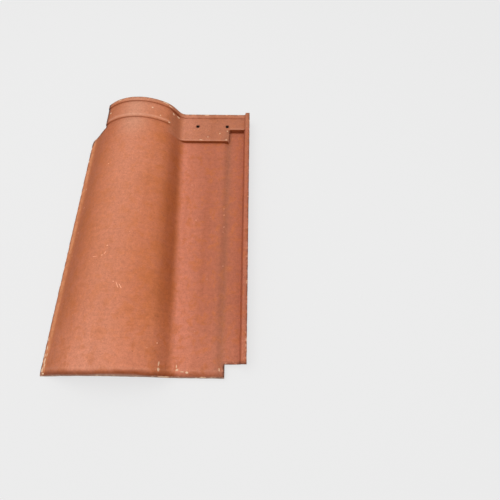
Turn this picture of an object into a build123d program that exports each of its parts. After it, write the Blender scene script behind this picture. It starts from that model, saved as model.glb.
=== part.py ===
from build123d import *
import os
from math import cos, radians, sin, sqrt

# Interlocking clay roof tile: a roll on the left, a flat pan and a lock strip on the right.
# Millimetres. +X runs across the tile from the roll to the lock strip, +Y runs from the
# tail (the lower end on a roof) to the head, +Z is up. The origin is the middle of the
# footprint, on the level that the tile rests on.

# Overall size
tile_length = 430.0
tile_width = 270.0

# Roll: an arch that is wider and flatter at the tail than at the head
roll_height_tail = 54.0
roll_height_head = 51.5
crest_radius_tail = 104.0
crest_radius_head = 86.0
shoulder_radius = 30.0
shoulder_start_angle = 30.0
flank_angle = 55.0
foot_radius = 16.0
wall = 10.0

# Outer edge of the roll, which rests on the floor
edge_flank_angle = 45.0
edge_band_width = 9.0
edge_band_rise = 7.0
edge_lip_height = 2.0
edge_rest_width = 8.0

# Pan
pan_height = 13.0

# Lock strip along the right side
strip_width = 41.0
channel_slope = 7.0
channel_depth = 3.0
rim_width = 7.0
rim_height = 23.0
rim_underside = 13.0
rim_round = 1.6
strip_turn_width = 20.0
strip_turn_run = 12.0
strip_turn_rise = 6.0

# Notches at the corners, where four tiles meet
head_notch_width = 34.0
head_notch_length = 44.5
head_notch_round = 8.0
tail_notch_width = 29.0
tail_notch_length = 17.5
notch_corner_round = 2.0

# Steps on the top face at the head
collar_length = 41.0
collar_rise = 1.4
collar_end_angle = 44.0
collar_fade = 6.0
lip_length = 8.5
lip_rise = 1.1

# Nailing pad on the pan
pad_length = 57.5
pad_rise = 4.0
pad_from_right = 33.5
pad_edge_round = 1.6
pad_corner_round = 5.0
channel_plug_length = 33.0

# Nail holes
nail_hole_radius = 2.5
nail_hole_spacing = 50.0
nail_hole_from_right = 38.0
nail_hole_from_head = 25.5

# Batten nib under the head
nib_length = 15.5
nib_past_foot = 17.5
nib_from_right = 6.0
nib_round_left = 14.5
nib_round_right = 14.0
nib_edge_round = 1.2

# Relief of the underside between the nib and the tail
head_recess = 2.5
plateau_depth = 1.8
plateau_from_head = 71.0
plateau_from_tail = 70.0
plateau_step_run = 2.5
plateau_left_of_rib = 6.5
plateau_right_of_rib = 13.0
rib_past_foot_head = 4.0
rib_before_foot_tail = 4.8
rib_from_right = 31.5
rib_width = 4.5

# Tail end
nose_length = 9.0
nose_depth = 8.0
nose_steps = 6
tail_foot_past_roll = 11.8
tail_foot_length = 9.0
tail_foot_run = 5.0
tail_foot_round = 1.5

# Depth that added relief reaches into the wall, so that the pieces join into one
bite = 3.0

# Levels that follow from the sizes
pan_underside = pan_height - wall
channel_floor = pan_height - channel_depth
pad_height = pan_height + pad_rise
head_underside = pan_underside + head_recess
nib_root = pan_height + bite

# Distances from the left edge that follow from the sizes
channel_inner = tile_width - strip_width
rim_inner = tile_width - rim_width
strip_turn = tile_width - strip_turn_width
tail_notch_start = tile_width - tail_notch_width
pad_right = tile_width - pad_from_right
rib_right = tile_width - rib_from_right


def place(x, z):
    """Point of a cross-section from its distance to the left edge and its height."""
    return Vector(x - tile_width / 2, 0, z)


def station(from_tail):
    """Y coordinate of the cross-section at this distance from the tail."""
    return from_tail - tile_length / 2


def at_station(face, from_tail):
    """The cross-section moved to its distance from the tail."""
    return face.moved(Location((0, station(from_tail), 0)))


def mix(tail_value, head_value, from_tail):
    """Value that changes evenly from the tail to the head."""
    return tail_value + (head_value - tail_value) * from_tail / tile_length


def crest(from_tail):
    """Centre and radius of the roll's crest arc, tangent to the flank of the outer edge."""
    radius = mix(crest_radius_tail, crest_radius_head, from_tail)
    top = mix(roll_height_tail, roll_height_head, from_tail)
    lean = radians(edge_flank_angle)
    flank_run = (top - radius + radius * cos(lean) - edge_band_rise) / sin(lean)
    centre_x = edge_band_width + flank_run * cos(lean) + radius * sin(lean)
    return centre_x, top - radius, radius


def on_arc(centre_x, centre_z, radius, angle):
    """Point of an arc at an angle from the vertical, to the right."""
    return place(centre_x + radius * sin(radians(angle)), centre_z + radius * cos(radians(angle)))


def arc(centre_x, centre_z, radius, start, end):
    """Arc between two angles from the vertical."""
    middle = (start + end) / 2
    return ThreePointArc(
        on_arc(centre_x, centre_z, radius, start),
        on_arc(centre_x, centre_z, radius, middle),
        on_arc(centre_x, centre_z, radius, end),
    )


def shoulder(from_tail):
    """Centre of the tighter arc between the crest and the flank above the pan."""
    centre_x, centre_z, radius = crest(from_tail)
    reach = radius - shoulder_radius
    start = radians(shoulder_start_angle)
    return centre_x + reach * sin(start), centre_z + reach * cos(start)


def foot(from_tail, level):
    """Centre of the hollow arc that brings the flank down to a level of the pan."""
    lean = radians(flank_angle)
    centre_x, centre_z = shoulder(from_tail)
    flank_top = centre_z + shoulder_radius * cos(lean)
    flank_end = level + foot_radius * (1 - cos(lean))
    flank_drop = (flank_top - flank_end) / sin(lean)
    foot_x = centre_x + (shoulder_radius + foot_radius) * sin(lean) + flank_drop * cos(lean)
    return foot_x, level + foot_radius


def foot_arc(from_tail, level, lift):
    """Hollow arc at the foot of the roll, lifted off the surface of the wall."""
    centre_x, centre_z = foot(from_tail, level)
    return arc(centre_x, centre_z, foot_radius - lift, flank_angle - 180, -180)


def roll_arcs(from_tail, lift, start, end=flank_angle):
    """Crest and shoulder arcs, lifted off the top face, from one angle to another."""
    centre_x, centre_z, radius = crest(from_tail)
    shoulder_x, shoulder_z = shoulder(from_tail)
    return [
        arc(centre_x, centre_z, radius + lift, start, shoulder_start_angle),
        arc(shoulder_x, shoulder_z, shoulder_radius + lift, shoulder_start_angle, end),
    ]


def roll_to_level(from_tail, level, lift, start):
    """Crest, shoulder, flank and foot as one line that ends level with the pan."""
    crest_arc, shoulder_arc = roll_arcs(from_tail, lift, start)
    hollow = foot_arc(from_tail, level, lift)
    return [crest_arc, shoulder_arc, Line(shoulder_arc @ 1, hollow @ 0), hollow]


def hollow_start_angle(from_tail):
    """Angle at which the inner flank of the roll's edge meets the inner crest arc."""
    centre_x, centre_z, radius = crest(from_tail)
    across = centre_x - edge_rest_width
    reach = sqrt(across**2 + centre_z**2)
    toward_centre = Vector(across, centre_z).get_angle(Vector(across, 0))
    opening = Vector(sqrt(reach**2 - (radius - wall) ** 2), radius - wall).get_angle(Vector(1, 0))
    return toward_centre - opening


def nose_drop(from_tail):
    """Depth of the rounded tail below the top face: a quarter of an ellipse, then nothing."""
    inward = max(nose_length - from_tail, 0) / nose_length
    return nose_depth * (1 - sqrt(1 - inward**2))


def nose_stations():
    """Distances from the tail that divide the nose into equal turns."""
    return [nose_length * (1 - cos(radians(90 * step / nose_steps))) for step in range(nose_steps + 1)]


def body_section(from_tail):
    """Cross-section of the roll and the pan, of even thickness but for the nose at the tail."""
    lean = -edge_flank_angle
    drop = nose_drop(from_tail)
    left = 1 - drop / wall
    top = roll_to_level(from_tail, pan_height, -drop, lean)
    under = roll_to_level(from_tail, pan_height, -wall, hollow_start_angle(from_tail))
    edge_top = place(edge_band_width, edge_band_rise * left)
    edge_corner = place(0, edge_lip_height * left)
    pan_end = place(channel_inner, pan_height - drop)
    pan_end_under = place(channel_inner, pan_height - wall)
    edge = [
        Line(place(edge_rest_width, 0), place(0, 0)),
        Line(place(0, 0), edge_corner),
        Line(edge_corner, edge_top),
        Line(edge_top, top[0] @ 0),
    ]
    right = [
        Line(top[-1] @ 1, pan_end),
        Line(pan_end, pan_end_under),
        Line(pan_end_under, under[-1] @ 1),
    ]
    return make_face(edge + top + right + under + [Line(under[0] @ 0, place(edge_rest_width, 0))])


def body():
    """Roll and pan from the tail to the head."""
    stations = nose_stations() + [tile_length]
    return loft([at_station(body_section(y), y) for y in stations], ruled=True)


def between(section, start, end):
    """Solid between two cross-sections of the same kind, with straight lines along the tile."""
    return loft([at_station(section(start), start), at_station(section(end), end)], ruled=True)


def bar(points, rounds, start, end):
    """Straight bar along the tile from a polygon with some of its corners rounded."""
    corners = [place(x, z) for x, z in points]
    outline = Polyline(*corners, close=True)
    face = make_face(outline)
    for index, radius in rounds.items():
        face = fillet(face.vertices().sort_by_distance(corners[index])[0], radius)
    return extrude(at_station(face, start), amount=end - start, dir=(0, 1, 0))


def block(x_range, y_range, z_range):
    """Box between two limits on each axis, in distances from the left edge and the tail."""
    size = [high - low for low, high in (x_range, y_range, z_range)]
    corner = place(x_range[0], z_range[0]) + Vector(0, station(y_range[0]), 0)
    return Pos(corner) * Box(*size, align=(Align.MIN, Align.MIN, Align.MIN))


def lock_strip():
    """Sunk channel and raised outer rim, on an underside that turns up."""
    points = [
        (channel_inner - bite, pan_height),
        (channel_inner, pan_height),
        (channel_inner + channel_slope, channel_floor),
        (rim_inner - bite, channel_floor),
        (rim_inner, rim_height),
        (tile_width, rim_height),
        (tile_width, rim_underside),
        (rim_inner, rim_underside),
        (strip_turn + strip_turn_run, pan_underside + strip_turn_rise),
        (strip_turn, pan_underside),
        (channel_inner - bite, pan_underside),
    ]
    rounds = {1: 12.0, 2: 4.0, 3: 2.5, 4: rim_round, 5: rim_round, 6: 1.0, 9: 14.0}
    return bar(points, rounds, 0, tile_length)


def strip_nose_cut():
    """What the nose takes off the tail of the channel, in line with the pan's."""
    points = [(0, station(y), pan_height - nose_drop(y)) for y in nose_stations()]
    above = pan_height + bite
    profile = make_face(Polyline(*points, (0, points[-1][1], above), (0, points[0][1], above), close=True))
    start = channel_inner - bite
    face = profile.moved(Location((start - tile_width / 2, 0, 0)))
    return extrude(face, amount=tile_width - start, dir=(1, 0, 0))


def collar_section(from_tail):
    """Low step over the crest that fades out on the shoulder."""
    inner = roll_arcs(from_tail, -bite, -edge_flank_angle, collar_end_angle + collar_fade)
    outer = roll_arcs(from_tail, collar_rise, -edge_flank_angle, collar_end_angle)
    ends = [Line(inner[0] @ 0, outer[0] @ 0), Line(outer[1] @ 1, inner[1] @ 1)]
    return make_face(inner + outer + ends)


def lip_section(from_tail):
    """Narrow raised border of the head, over the roll, the pad and the strip."""
    lift = collar_rise + lip_rise
    inner = roll_to_level(from_tail, pan_height, -bite, -edge_flank_angle)
    outer = roll_to_level(from_tail, pad_height + lip_rise - lift, lift, -edge_flank_angle)
    top_end = place(rim_inner, pad_height + lip_rise)
    low_end = place(rim_inner, pan_height - bite)
    right = [Line(outer[-1] @ 1, top_end), Line(top_end, low_end), Line(low_end, inner[-1] @ 1)]
    return make_face(inner + outer + right + [Line(inner[0] @ 0, outer[0] @ 0)])


def pad_section(from_tail):
    """Raised pad on the pan, with its own hollow against the roll."""
    lean = radians(flank_angle)
    hollow = foot_arc(from_tail, pad_height, 0)
    inner = hollow @ 0 - bite * Vector(sin(lean), 0, cos(lean))
    top_end = place(pad_right, pad_height)
    low_end = place(pad_right, pan_height - bite)
    low_start = Vector(inner.X, 0, low_end.Z)
    return make_face([
        hollow,
        Line(hollow @ 1, top_end),
        Line(top_end, low_end),
        Line(low_end, low_start),
        Line(low_start, inner),
        Line(inner, hollow @ 0),
    ])


def nail_pad():
    """Pad with rounded corner and edges, and the plug that closes the channel beside it."""
    front = tile_length - pad_length
    pad = between(pad_section, front, tile_length)
    corner = place(pad_right, pad_height) + Vector(0, station(front), 0)
    upright = pad.edges().filter_by(Axis.Z).sort_by_distance(corner)[0]
    pad = fillet(upright, pad_corner_round)
    top = pad.faces().sort_by(Axis.Z)[-1]
    pad = fillet(top.edges().sort_by_distance(corner)[:3], pad_edge_round)
    x_range = (pad_right - bite, rim_inner)
    y_range = (tile_length - channel_plug_length, tile_length)
    plug = block(x_range, y_range, (channel_floor - bite, pad_height))
    top_front = plug.edges().filter_by(Axis.X).group_by(Axis.Y)[0].sort_by(Axis.Z)[-1]
    return pad + fillet(top_front, pad_edge_round)


def nib():
    """Batten nib across the pan, square at the front, with a large round at both ends."""
    nib_left = foot(tile_length, pan_height)[0] - nib_past_foot
    nib_right = tile_width - nib_from_right
    points = [(nib_left, nib_root), (nib_left, 0), (nib_right, 0), (nib_right, nib_root)]
    tallest_round = nib_root - nib_edge_round
    rounds = {1: min(nib_round_left, tallest_round), 2: min(nib_round_right, tallest_round)}
    solid = bar(points, rounds, tile_length - nib_length, tile_length)
    ends = solid.edges().group_by(Axis.Y)
    return fillet(ends[0] + ends[-1], nib_edge_round)


def rib_centre_left(from_tail):
    """Distance of the left rib from the left edge: it follows the foot of the roll."""
    tail = foot(0, pan_height)[0] - rib_before_foot_tail
    head = foot(tile_length, pan_height)[0] + rib_past_foot_head
    return mix(tail, head, from_tail)


def plateau_section(from_tail, low):
    """Broad low thickening of the pan's underside, down to a level."""
    left = rib_centre_left(from_tail) - plateau_left_of_rib
    right = rib_right + plateau_right_of_rib
    return make_face(Polyline(
        place(left - plateau_depth, pan_underside + bite),
        place(left - plateau_depth, pan_underside),
        place(left, low),
        place(right - plateau_step_run, low),
        place(right, pan_underside),
        place(right, pan_underside + bite),
        close=True,
    ))


def rib_section(from_tail, centre):
    """Rounded rib that reaches down to the level that the tile rests on."""
    depth = pan_underside
    half = rib_width / 2
    return make_face([
        ThreePointArc(place(centre - half, depth), place(centre, 0), place(centre + half, depth)),
        Line(place(centre + half, depth), place(centre - half, depth)),
    ])


def underside_relief():
    """Plateau with a ramp at each end, and the two ribs along it."""
    start = plateau_from_tail
    end = tile_length - plateau_from_head
    low = pan_underside - plateau_depth

    def full(from_tail):
        return plateau_section(from_tail, low)

    middle = between(full, start, end)
    ramps = [edge for edge in middle.edges().filter_by(Axis.X) if abs(edge.center().Z - low) < 0.01]
    plateau = chamfer(ramps, plateau_depth, plateau_step_run)
    left = between(lambda y: rib_section(y, rib_centre_left(y)), start, end)
    right = between(lambda y: rib_section(y, rib_right), start, end)
    return plateau + left + right


def tail_foot():
    """Foot under the tail of the pan, with a sloped back."""
    y_low = station(0)
    profile = make_face(Polyline(
        (0, y_low, pan_underside + bite),
        (0, y_low, 0),
        (0, y_low + tail_foot_length, 0),
        (0, y_low + tail_foot_length + tail_foot_run, pan_underside),
        (0, y_low + tail_foot_length + tail_foot_run, pan_underside + bite),
        close=True,
    ))
    left = foot(0, pan_height)[0] - tail_foot_past_roll
    face = profile.moved(Location((left - tile_width / 2, 0, 0)))
    solid = extrude(face, amount=tail_notch_start - left, dir=(1, 0, 0))
    return fillet(solid.edges().filter_by(Axis.X).group_by(Axis.Z)[0], tail_foot_round)


def head_recess_cut():
    """Shallow recess of the underside below the nailing pad, with a ramp toward the tail."""
    y_start = station(tile_length - plateau_from_head)
    y_end = station(tile_length - nib_length)
    left = rib_centre_left(tile_length) - rib_width / 2
    right = rib_right + rib_width / 2
    profile = make_face(Polyline(
        (0, y_start, 0),
        (0, y_start, pan_underside),
        (0, y_start + plateau_step_run, head_underside),
        (0, y_end, head_underside),
        (0, y_end, 0),
        close=True,
    ))
    face = profile.moved(Location((left - tile_width / 2, 0, 0)))
    return extrude(face, amount=right - left, dir=(1, 0, 0))


def plan_cut(corners, rounds):
    """Upright cutter from corners given as distances from the left edge and the tail."""
    points = [Vector(x - tile_width / 2, station(y), 0) for x, y in corners]
    face = make_face(Polyline(*points, close=True))
    for index, radius in rounds.items():
        face = fillet(face.vertices().sort_by_distance(points[index])[0], radius)
    return extrude(face, amount=2 * roll_height_tail, dir=(0, 0, 1)).moved(
        Location((0, 0, -roll_height_tail / 2))
    )


def head_notch():
    """Cut at the head of the roll, with a rounded outer corner."""
    low = tile_length - head_notch_length
    high = tile_length + head_notch_length
    out = -head_notch_width
    corners = [
        (out, high),
        (head_notch_width, high),
        (head_notch_width, low),
        (head_notch_round, low),
        (0, low - head_notch_round),
        (out, low - head_notch_round),
    ]
    return plan_cut(corners, {2: notch_corner_round, 3: head_notch_round, 4: head_notch_round})


def tail_notch():
    """Cut at the tail of the lock strip."""
    high = tail_notch_length
    out = tile_width + tile_width - tail_notch_start
    corners = [(tail_notch_start, -high), (tail_notch_start, high), (out, high), (out, -high)]
    return plan_cut(corners, {1: notch_corner_round})


def nail_holes():
    """The two holes through the nailing pad."""
    y = station(tile_length - nail_hole_from_head)
    holes = []
    for index in range(2):
        x = tile_width - nail_hole_from_right - index * nail_hole_spacing
        axis = Location(place(x, 0) + Vector(0, y, 0))
        holes.append(axis * Cylinder(nail_hole_radius, 2 * roll_height_tail))
    return holes


def build_tile():
    """The whole tile as one solid."""
    tile = body() + (lock_strip() - strip_nose_cut())
    tile -= head_recess_cut()
    tile += nail_pad()
    tile += between(collar_section, tile_length - collar_length, tile_length)
    tile += between(lip_section, tile_length - lip_length, tile_length)
    tile += nib()
    tile += underside_relief()
    tile += tail_foot()
    tile -= head_notch()
    tile -= tail_notch()
    tile -= nail_holes()
    return tile


roof_tile = build_tile()
os.makedirs("parts", exist_ok=True)
export_step(roof_tile, "parts/roof_tile.step")
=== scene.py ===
"""Looks of an interlocking clay roof tile: a fired clay body, its setting marks and a pale studio."""

import logging
import math
from dataclasses import astuple, dataclass, field
from enum import Enum
from typing import Any, Sequence

import bpy
import numpy as np
from mathutils import Matrix, Vector

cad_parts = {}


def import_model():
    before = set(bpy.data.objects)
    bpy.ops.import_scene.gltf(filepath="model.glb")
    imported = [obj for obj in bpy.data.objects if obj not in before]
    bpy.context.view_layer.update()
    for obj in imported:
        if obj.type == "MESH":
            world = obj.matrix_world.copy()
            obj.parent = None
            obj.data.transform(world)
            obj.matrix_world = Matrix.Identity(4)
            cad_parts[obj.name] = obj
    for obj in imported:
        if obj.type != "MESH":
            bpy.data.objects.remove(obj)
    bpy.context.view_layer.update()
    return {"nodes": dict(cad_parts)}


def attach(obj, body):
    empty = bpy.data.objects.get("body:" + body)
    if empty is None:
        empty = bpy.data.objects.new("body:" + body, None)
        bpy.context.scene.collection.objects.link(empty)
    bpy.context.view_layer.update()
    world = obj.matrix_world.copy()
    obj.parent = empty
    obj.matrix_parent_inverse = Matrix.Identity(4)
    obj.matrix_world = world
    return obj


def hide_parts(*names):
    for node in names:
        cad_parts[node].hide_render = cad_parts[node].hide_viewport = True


LOG = logging.getLogger("roof_tile")
MM = 0.001
Array = np.ndarray


# Small formulas

def ease(value: Array) -> Array:
    """Smooth step: 0 below 0, 1 above 1, with level ends."""
    t = np.clip(value, 0.0, 1.0)
    return t * t * (3.0 - 2.0 * t)


def rises(value: Array, start: Array | float, run: float) -> Array:
    """Smooth step that leaves 0 at the start and reaches 1 after the run."""
    return ease((value - start) / run)


def falls(value: Array, start: Array | float, run: float) -> Array:
    """Smooth step that leaves 1 at the start and reaches 0 after the run."""
    return 1.0 - ease((value - start) / run)


def bell(value: Array, middle: Array | float, spread: Array | float) -> Array:
    """Bell curve exp(-((v - m) / s)^2) about a middle m, with a spread s."""
    return np.exp(-(((value - middle) / spread) ** 2))


def lopsided(value: Array, middle: Array | float, before: Array | float,
             after: Array | float) -> Array:
    """Bell curve whose spread differs before its middle and after it."""
    return bell(value, middle, np.where(value < middle, before, after))


def quarter(value: Array) -> Array:
    """Quarter of a circle: leaves 0 upright and reaches 1 level."""
    return np.sqrt(1.0 - (1.0 - np.clip(value, 0.0, 1.0)) ** 2)


def quarter_stations(start: float, width: float, steps: int) -> Array:
    """Stations along a quarter of a circle, dense where it is steep."""
    return start + width * (1.0 - np.cos(np.linspace(0.0, np.pi / 2, steps)))


def waves(x: Array, y: Array, size: float, seed: int, count: int = 24) -> Array:
    """Gentle unevenness: a sum of sines of random heading, about one high at its peaks.

    Args:
        x: Distances across the tile, in millimetres.
        y: Distances along the tile, in millimetres.
        size: Typical length of a wave, in millimetres.
        seed: Seed of the random headings.
        count: Number of sines.

    Returns:
        Heights with the shape of x.
    """
    source = np.random.default_rng(seed)
    heading = source.uniform(0.0, 2.0 * np.pi, count)
    pitch = 2.0 * np.pi / (size * source.uniform(0.55, 1.7, count))
    phase = source.uniform(0.0, 2.0 * np.pi, count)
    total = np.zeros(np.broadcast(x, y).shape)
    for angle, rate, start in zip(heading, pitch, phase):
        total = total + np.sin(rate * (x * np.cos(angle) + y * np.sin(angle)) + start)
    return total / math.sqrt(count)


def merged(features: Sequence[float], base: Sequence[float], gap: float) -> Array:
    """Sorted stations: all the features, and those of the base that keep a gap from them.

    Args:
        features: Stations that are all kept.
        base: Evenly spaced stations.
        gap: Least distance of a base station from the features.

    Returns:
        The stations, each once.
    """
    kept = np.unique(np.round(np.asarray(features, float), 3))
    base = np.asarray(base, float)
    near = np.abs(base[:, None] - kept[None, :]).min(axis=1)
    return np.unique(np.concatenate([kept, base[near >= gap]]))


# Meshes

def add_mesh(name: str, points: Array, faces: Array, sharp: float | None = None) -> bpy.types.Object:
    """Object from points in millimetres of the row frame and a list of quads.

    Args:
        name: Name of the piece.
        points: Points, one row each.
        faces: Corner numbers, four a face, counted outwards.
        sharp: Angle in degrees past which an edge stays sharp, or None for all smooth.

    Returns:
        The new object, at the origin.
    """
    mesh = bpy.data.meshes.new(name)
    mesh.from_pydata((points * MM).tolist(), [], faces.tolist())
    mesh.update()
    mesh.shade_smooth()
    if sharp is not None:
        mesh.set_sharp_from_angle(angle=math.radians(sharp))
    piece = bpy.data.objects.new(name, mesh)
    bpy.context.scene.collection.objects.link(piece)
    return piece


def set_attribute(piece: bpy.types.Object, name: str, values: Array) -> None:
    """Stores one number a vertex, which a material reads by its name."""
    layer = piece.data.attributes.new(name, "FLOAT", "POINT")
    layer.data.foreach_set("value", np.ascontiguousarray(values, dtype=np.float32))


# Shader maths

class Signal:
    """Output of a shader node that takes part in expressions."""

    def __init__(self, sheet: "NodeSheet", socket: bpy.types.NodeSocket) -> None:
        """Keeps the sheet and the socket."""
        self.sheet = sheet
        self.socket = socket

    def _maths(self, operation: str, *values: "Signal | float") -> "Signal":
        """Adds one Math node on these values."""
        return self.sheet.node("ShaderNodeMath", {"operation": operation}, *values)

    def __add__(self, other: "Signal | float") -> "Signal":
        """Sum."""
        return self._maths("ADD", self, other)

    __radd__ = __add__

    def __sub__(self, other: "Signal | float") -> "Signal":
        """Difference."""
        return self._maths("SUBTRACT", self, other)

    def __rsub__(self, other: "Signal | float") -> "Signal":
        """Difference, the other way round."""
        return self._maths("SUBTRACT", other, self)

    def __mul__(self, other: "Signal | float") -> "Signal":
        """Product."""
        return self._maths("MULTIPLY", self, other)

    __rmul__ = __mul__

    def between(self, low: float, high: float) -> "Signal":
        """Smooth step of this value from low to high; high may be the smaller one."""
        settings = {"interpolation_type": "SMOOTHSTEP"}
        return self.sheet.node("ShaderNodeMapRange", settings, self, low, high, 0.0, 1.0)

    def at_least(self, other: "Signal | float") -> "Signal":
        """The larger of two values."""
        return self._maths("MAXIMUM", self, other)


class NodeSheet:
    """Node tree of one material or of the world."""

    def __init__(self, owner: bpy.types.Material | bpy.types.World) -> None:
        """Starts an empty tree.

        Args:
            owner: The material or world that the nodes belong to.
        """
        self.owner = owner
        owner.use_nodes = True
        self.tree = owner.node_tree
        self.tree.nodes.clear()

    @classmethod
    def material(cls, name: str) -> "NodeSheet":
        """Sheet of a new material."""
        return cls(bpy.data.materials.new(name))

    def _make(self, kind: str, settings: dict[str, Any], values: Sequence[Any],
              named: dict[str, Any]) -> bpy.types.Node:
        """Adds one node of any type.

        Args:
            kind: Type of the node.
            settings: Settings, such as a Math node's operation, put in first.
            values: Values or signals of the first sockets in turn, None to leave one alone.
            named: Values or signals of sockets by name, with underscores for blanks.

        Returns:
            The node.
        """
        made = self.tree.nodes.new(kind)
        for name, value in settings.items():
            setattr(made, name, value)
        for index, value in enumerate(values):
            self._feed(made.inputs[index], value)
        for name, value in named.items():
            self._feed(made.inputs[name.replace("_", " ")], value)
        return made

    def node(self, kind: str, settings: dict[str, Any], *values: Any, out: int | str = 0,
             **named: Any) -> Signal:
        """Adds a node and returns one of its outputs, the first if none is named."""
        return Signal(self, self._make(kind, settings, values, named).outputs[out])

    def _feed(self, socket: bpy.types.NodeSocket, value: Any) -> None:
        """Links a signal to a socket or sets a plain value on it.

        Args:
            socket: The input to feed.
            value: A signal, a plain value, or None to leave the socket alone.
        """
        if isinstance(value, Signal):
            self.tree.links.new(value.socket, socket)
        elif value is not None:
            socket.default_value = value

    def coordinates(self, stretch: Sequence[float] = (1.0, 1.0, 1.0)) -> Signal:
        """Object coordinates, stretched by a factor on each axis."""
        place = self.node("ShaderNodeTexCoord", {}, out="Object")
        return self.node("ShaderNodeMapping", {}, Vector=place, Scale=tuple(stretch))

    def noise(self, scale: float, detail: float = 3.0, roughness: float = 0.5,
              stretch: Sequence[float] = (1.0, 1.0, 1.0), distortion: float = 0.0) -> Signal:
        """Noise of about 0.5, with this many waves in a metre."""
        return self.node("ShaderNodeTexNoise", {}, Vector=self.coordinates(stretch), Scale=scale,
                         Detail=detail, Roughness=roughness, Distortion=distortion)

    def attribute(self, name: str) -> Signal:
        """Number that the mesh stores for each vertex."""
        return self.node("ShaderNodeAttribute", {"attribute_name": name}, out="Fac")

    def mix(self, share: Signal | float, first: Any, second: Any, blend: str = "MIX") -> Signal:
        """Mix of two colours.

        Args:
            share: How much of the second there is.
            first: Colour or signal to start from.
            second: Colour or signal laid over it.
            blend: Way of mixing.

        Returns:
            The mixed colour.
        """
        settings = {"data_type": "RGBA", "blend_type": blend, "clamp_factor": True}
        ends = [(*value, 1.0) if isinstance(value, tuple) else value for value in (first, second)]
        other_kinds = [None] * 5  # The node's sockets for mixing numbers and vectors
        return self.node("ShaderNodeMix", settings, share, *other_kinds, *ends, out=2)

    def coats(self, colour: Any, *coats: tuple[Signal, Any]) -> Signal:
        """Lays coats over a colour in turn.

        Args:
            colour: Colour to start from.
            coats: For each coat its share and its own colour.

        Returns:
            The colour with all its coats.
        """
        for share, coat in coats:
            colour = self.mix(share, colour, coat)
        return colour

    def bump(self, height: Signal, distance: float, strength: float = 1.0,
             normal: Signal | None = None) -> Signal:
        """Bump from a height, with its depth in metres."""
        return self.node("ShaderNodeBump", {}, Height=height, Distance=distance, Strength=strength,
                         Normal=normal)

    def finish(self, surface: Signal) -> Any:
        """Closes the sheet with its surface.

        Args:
            surface: What the material or world shows.

        Returns:
            The material or world.
        """
        world = isinstance(self.owner, bpy.types.World)
        kind = "ShaderNodeOutputWorld" if world else "ShaderNodeOutputMaterial"
        self._make(kind, {}, (), {"Surface": surface})
        return self.owner


# Shape of the tile

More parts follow.
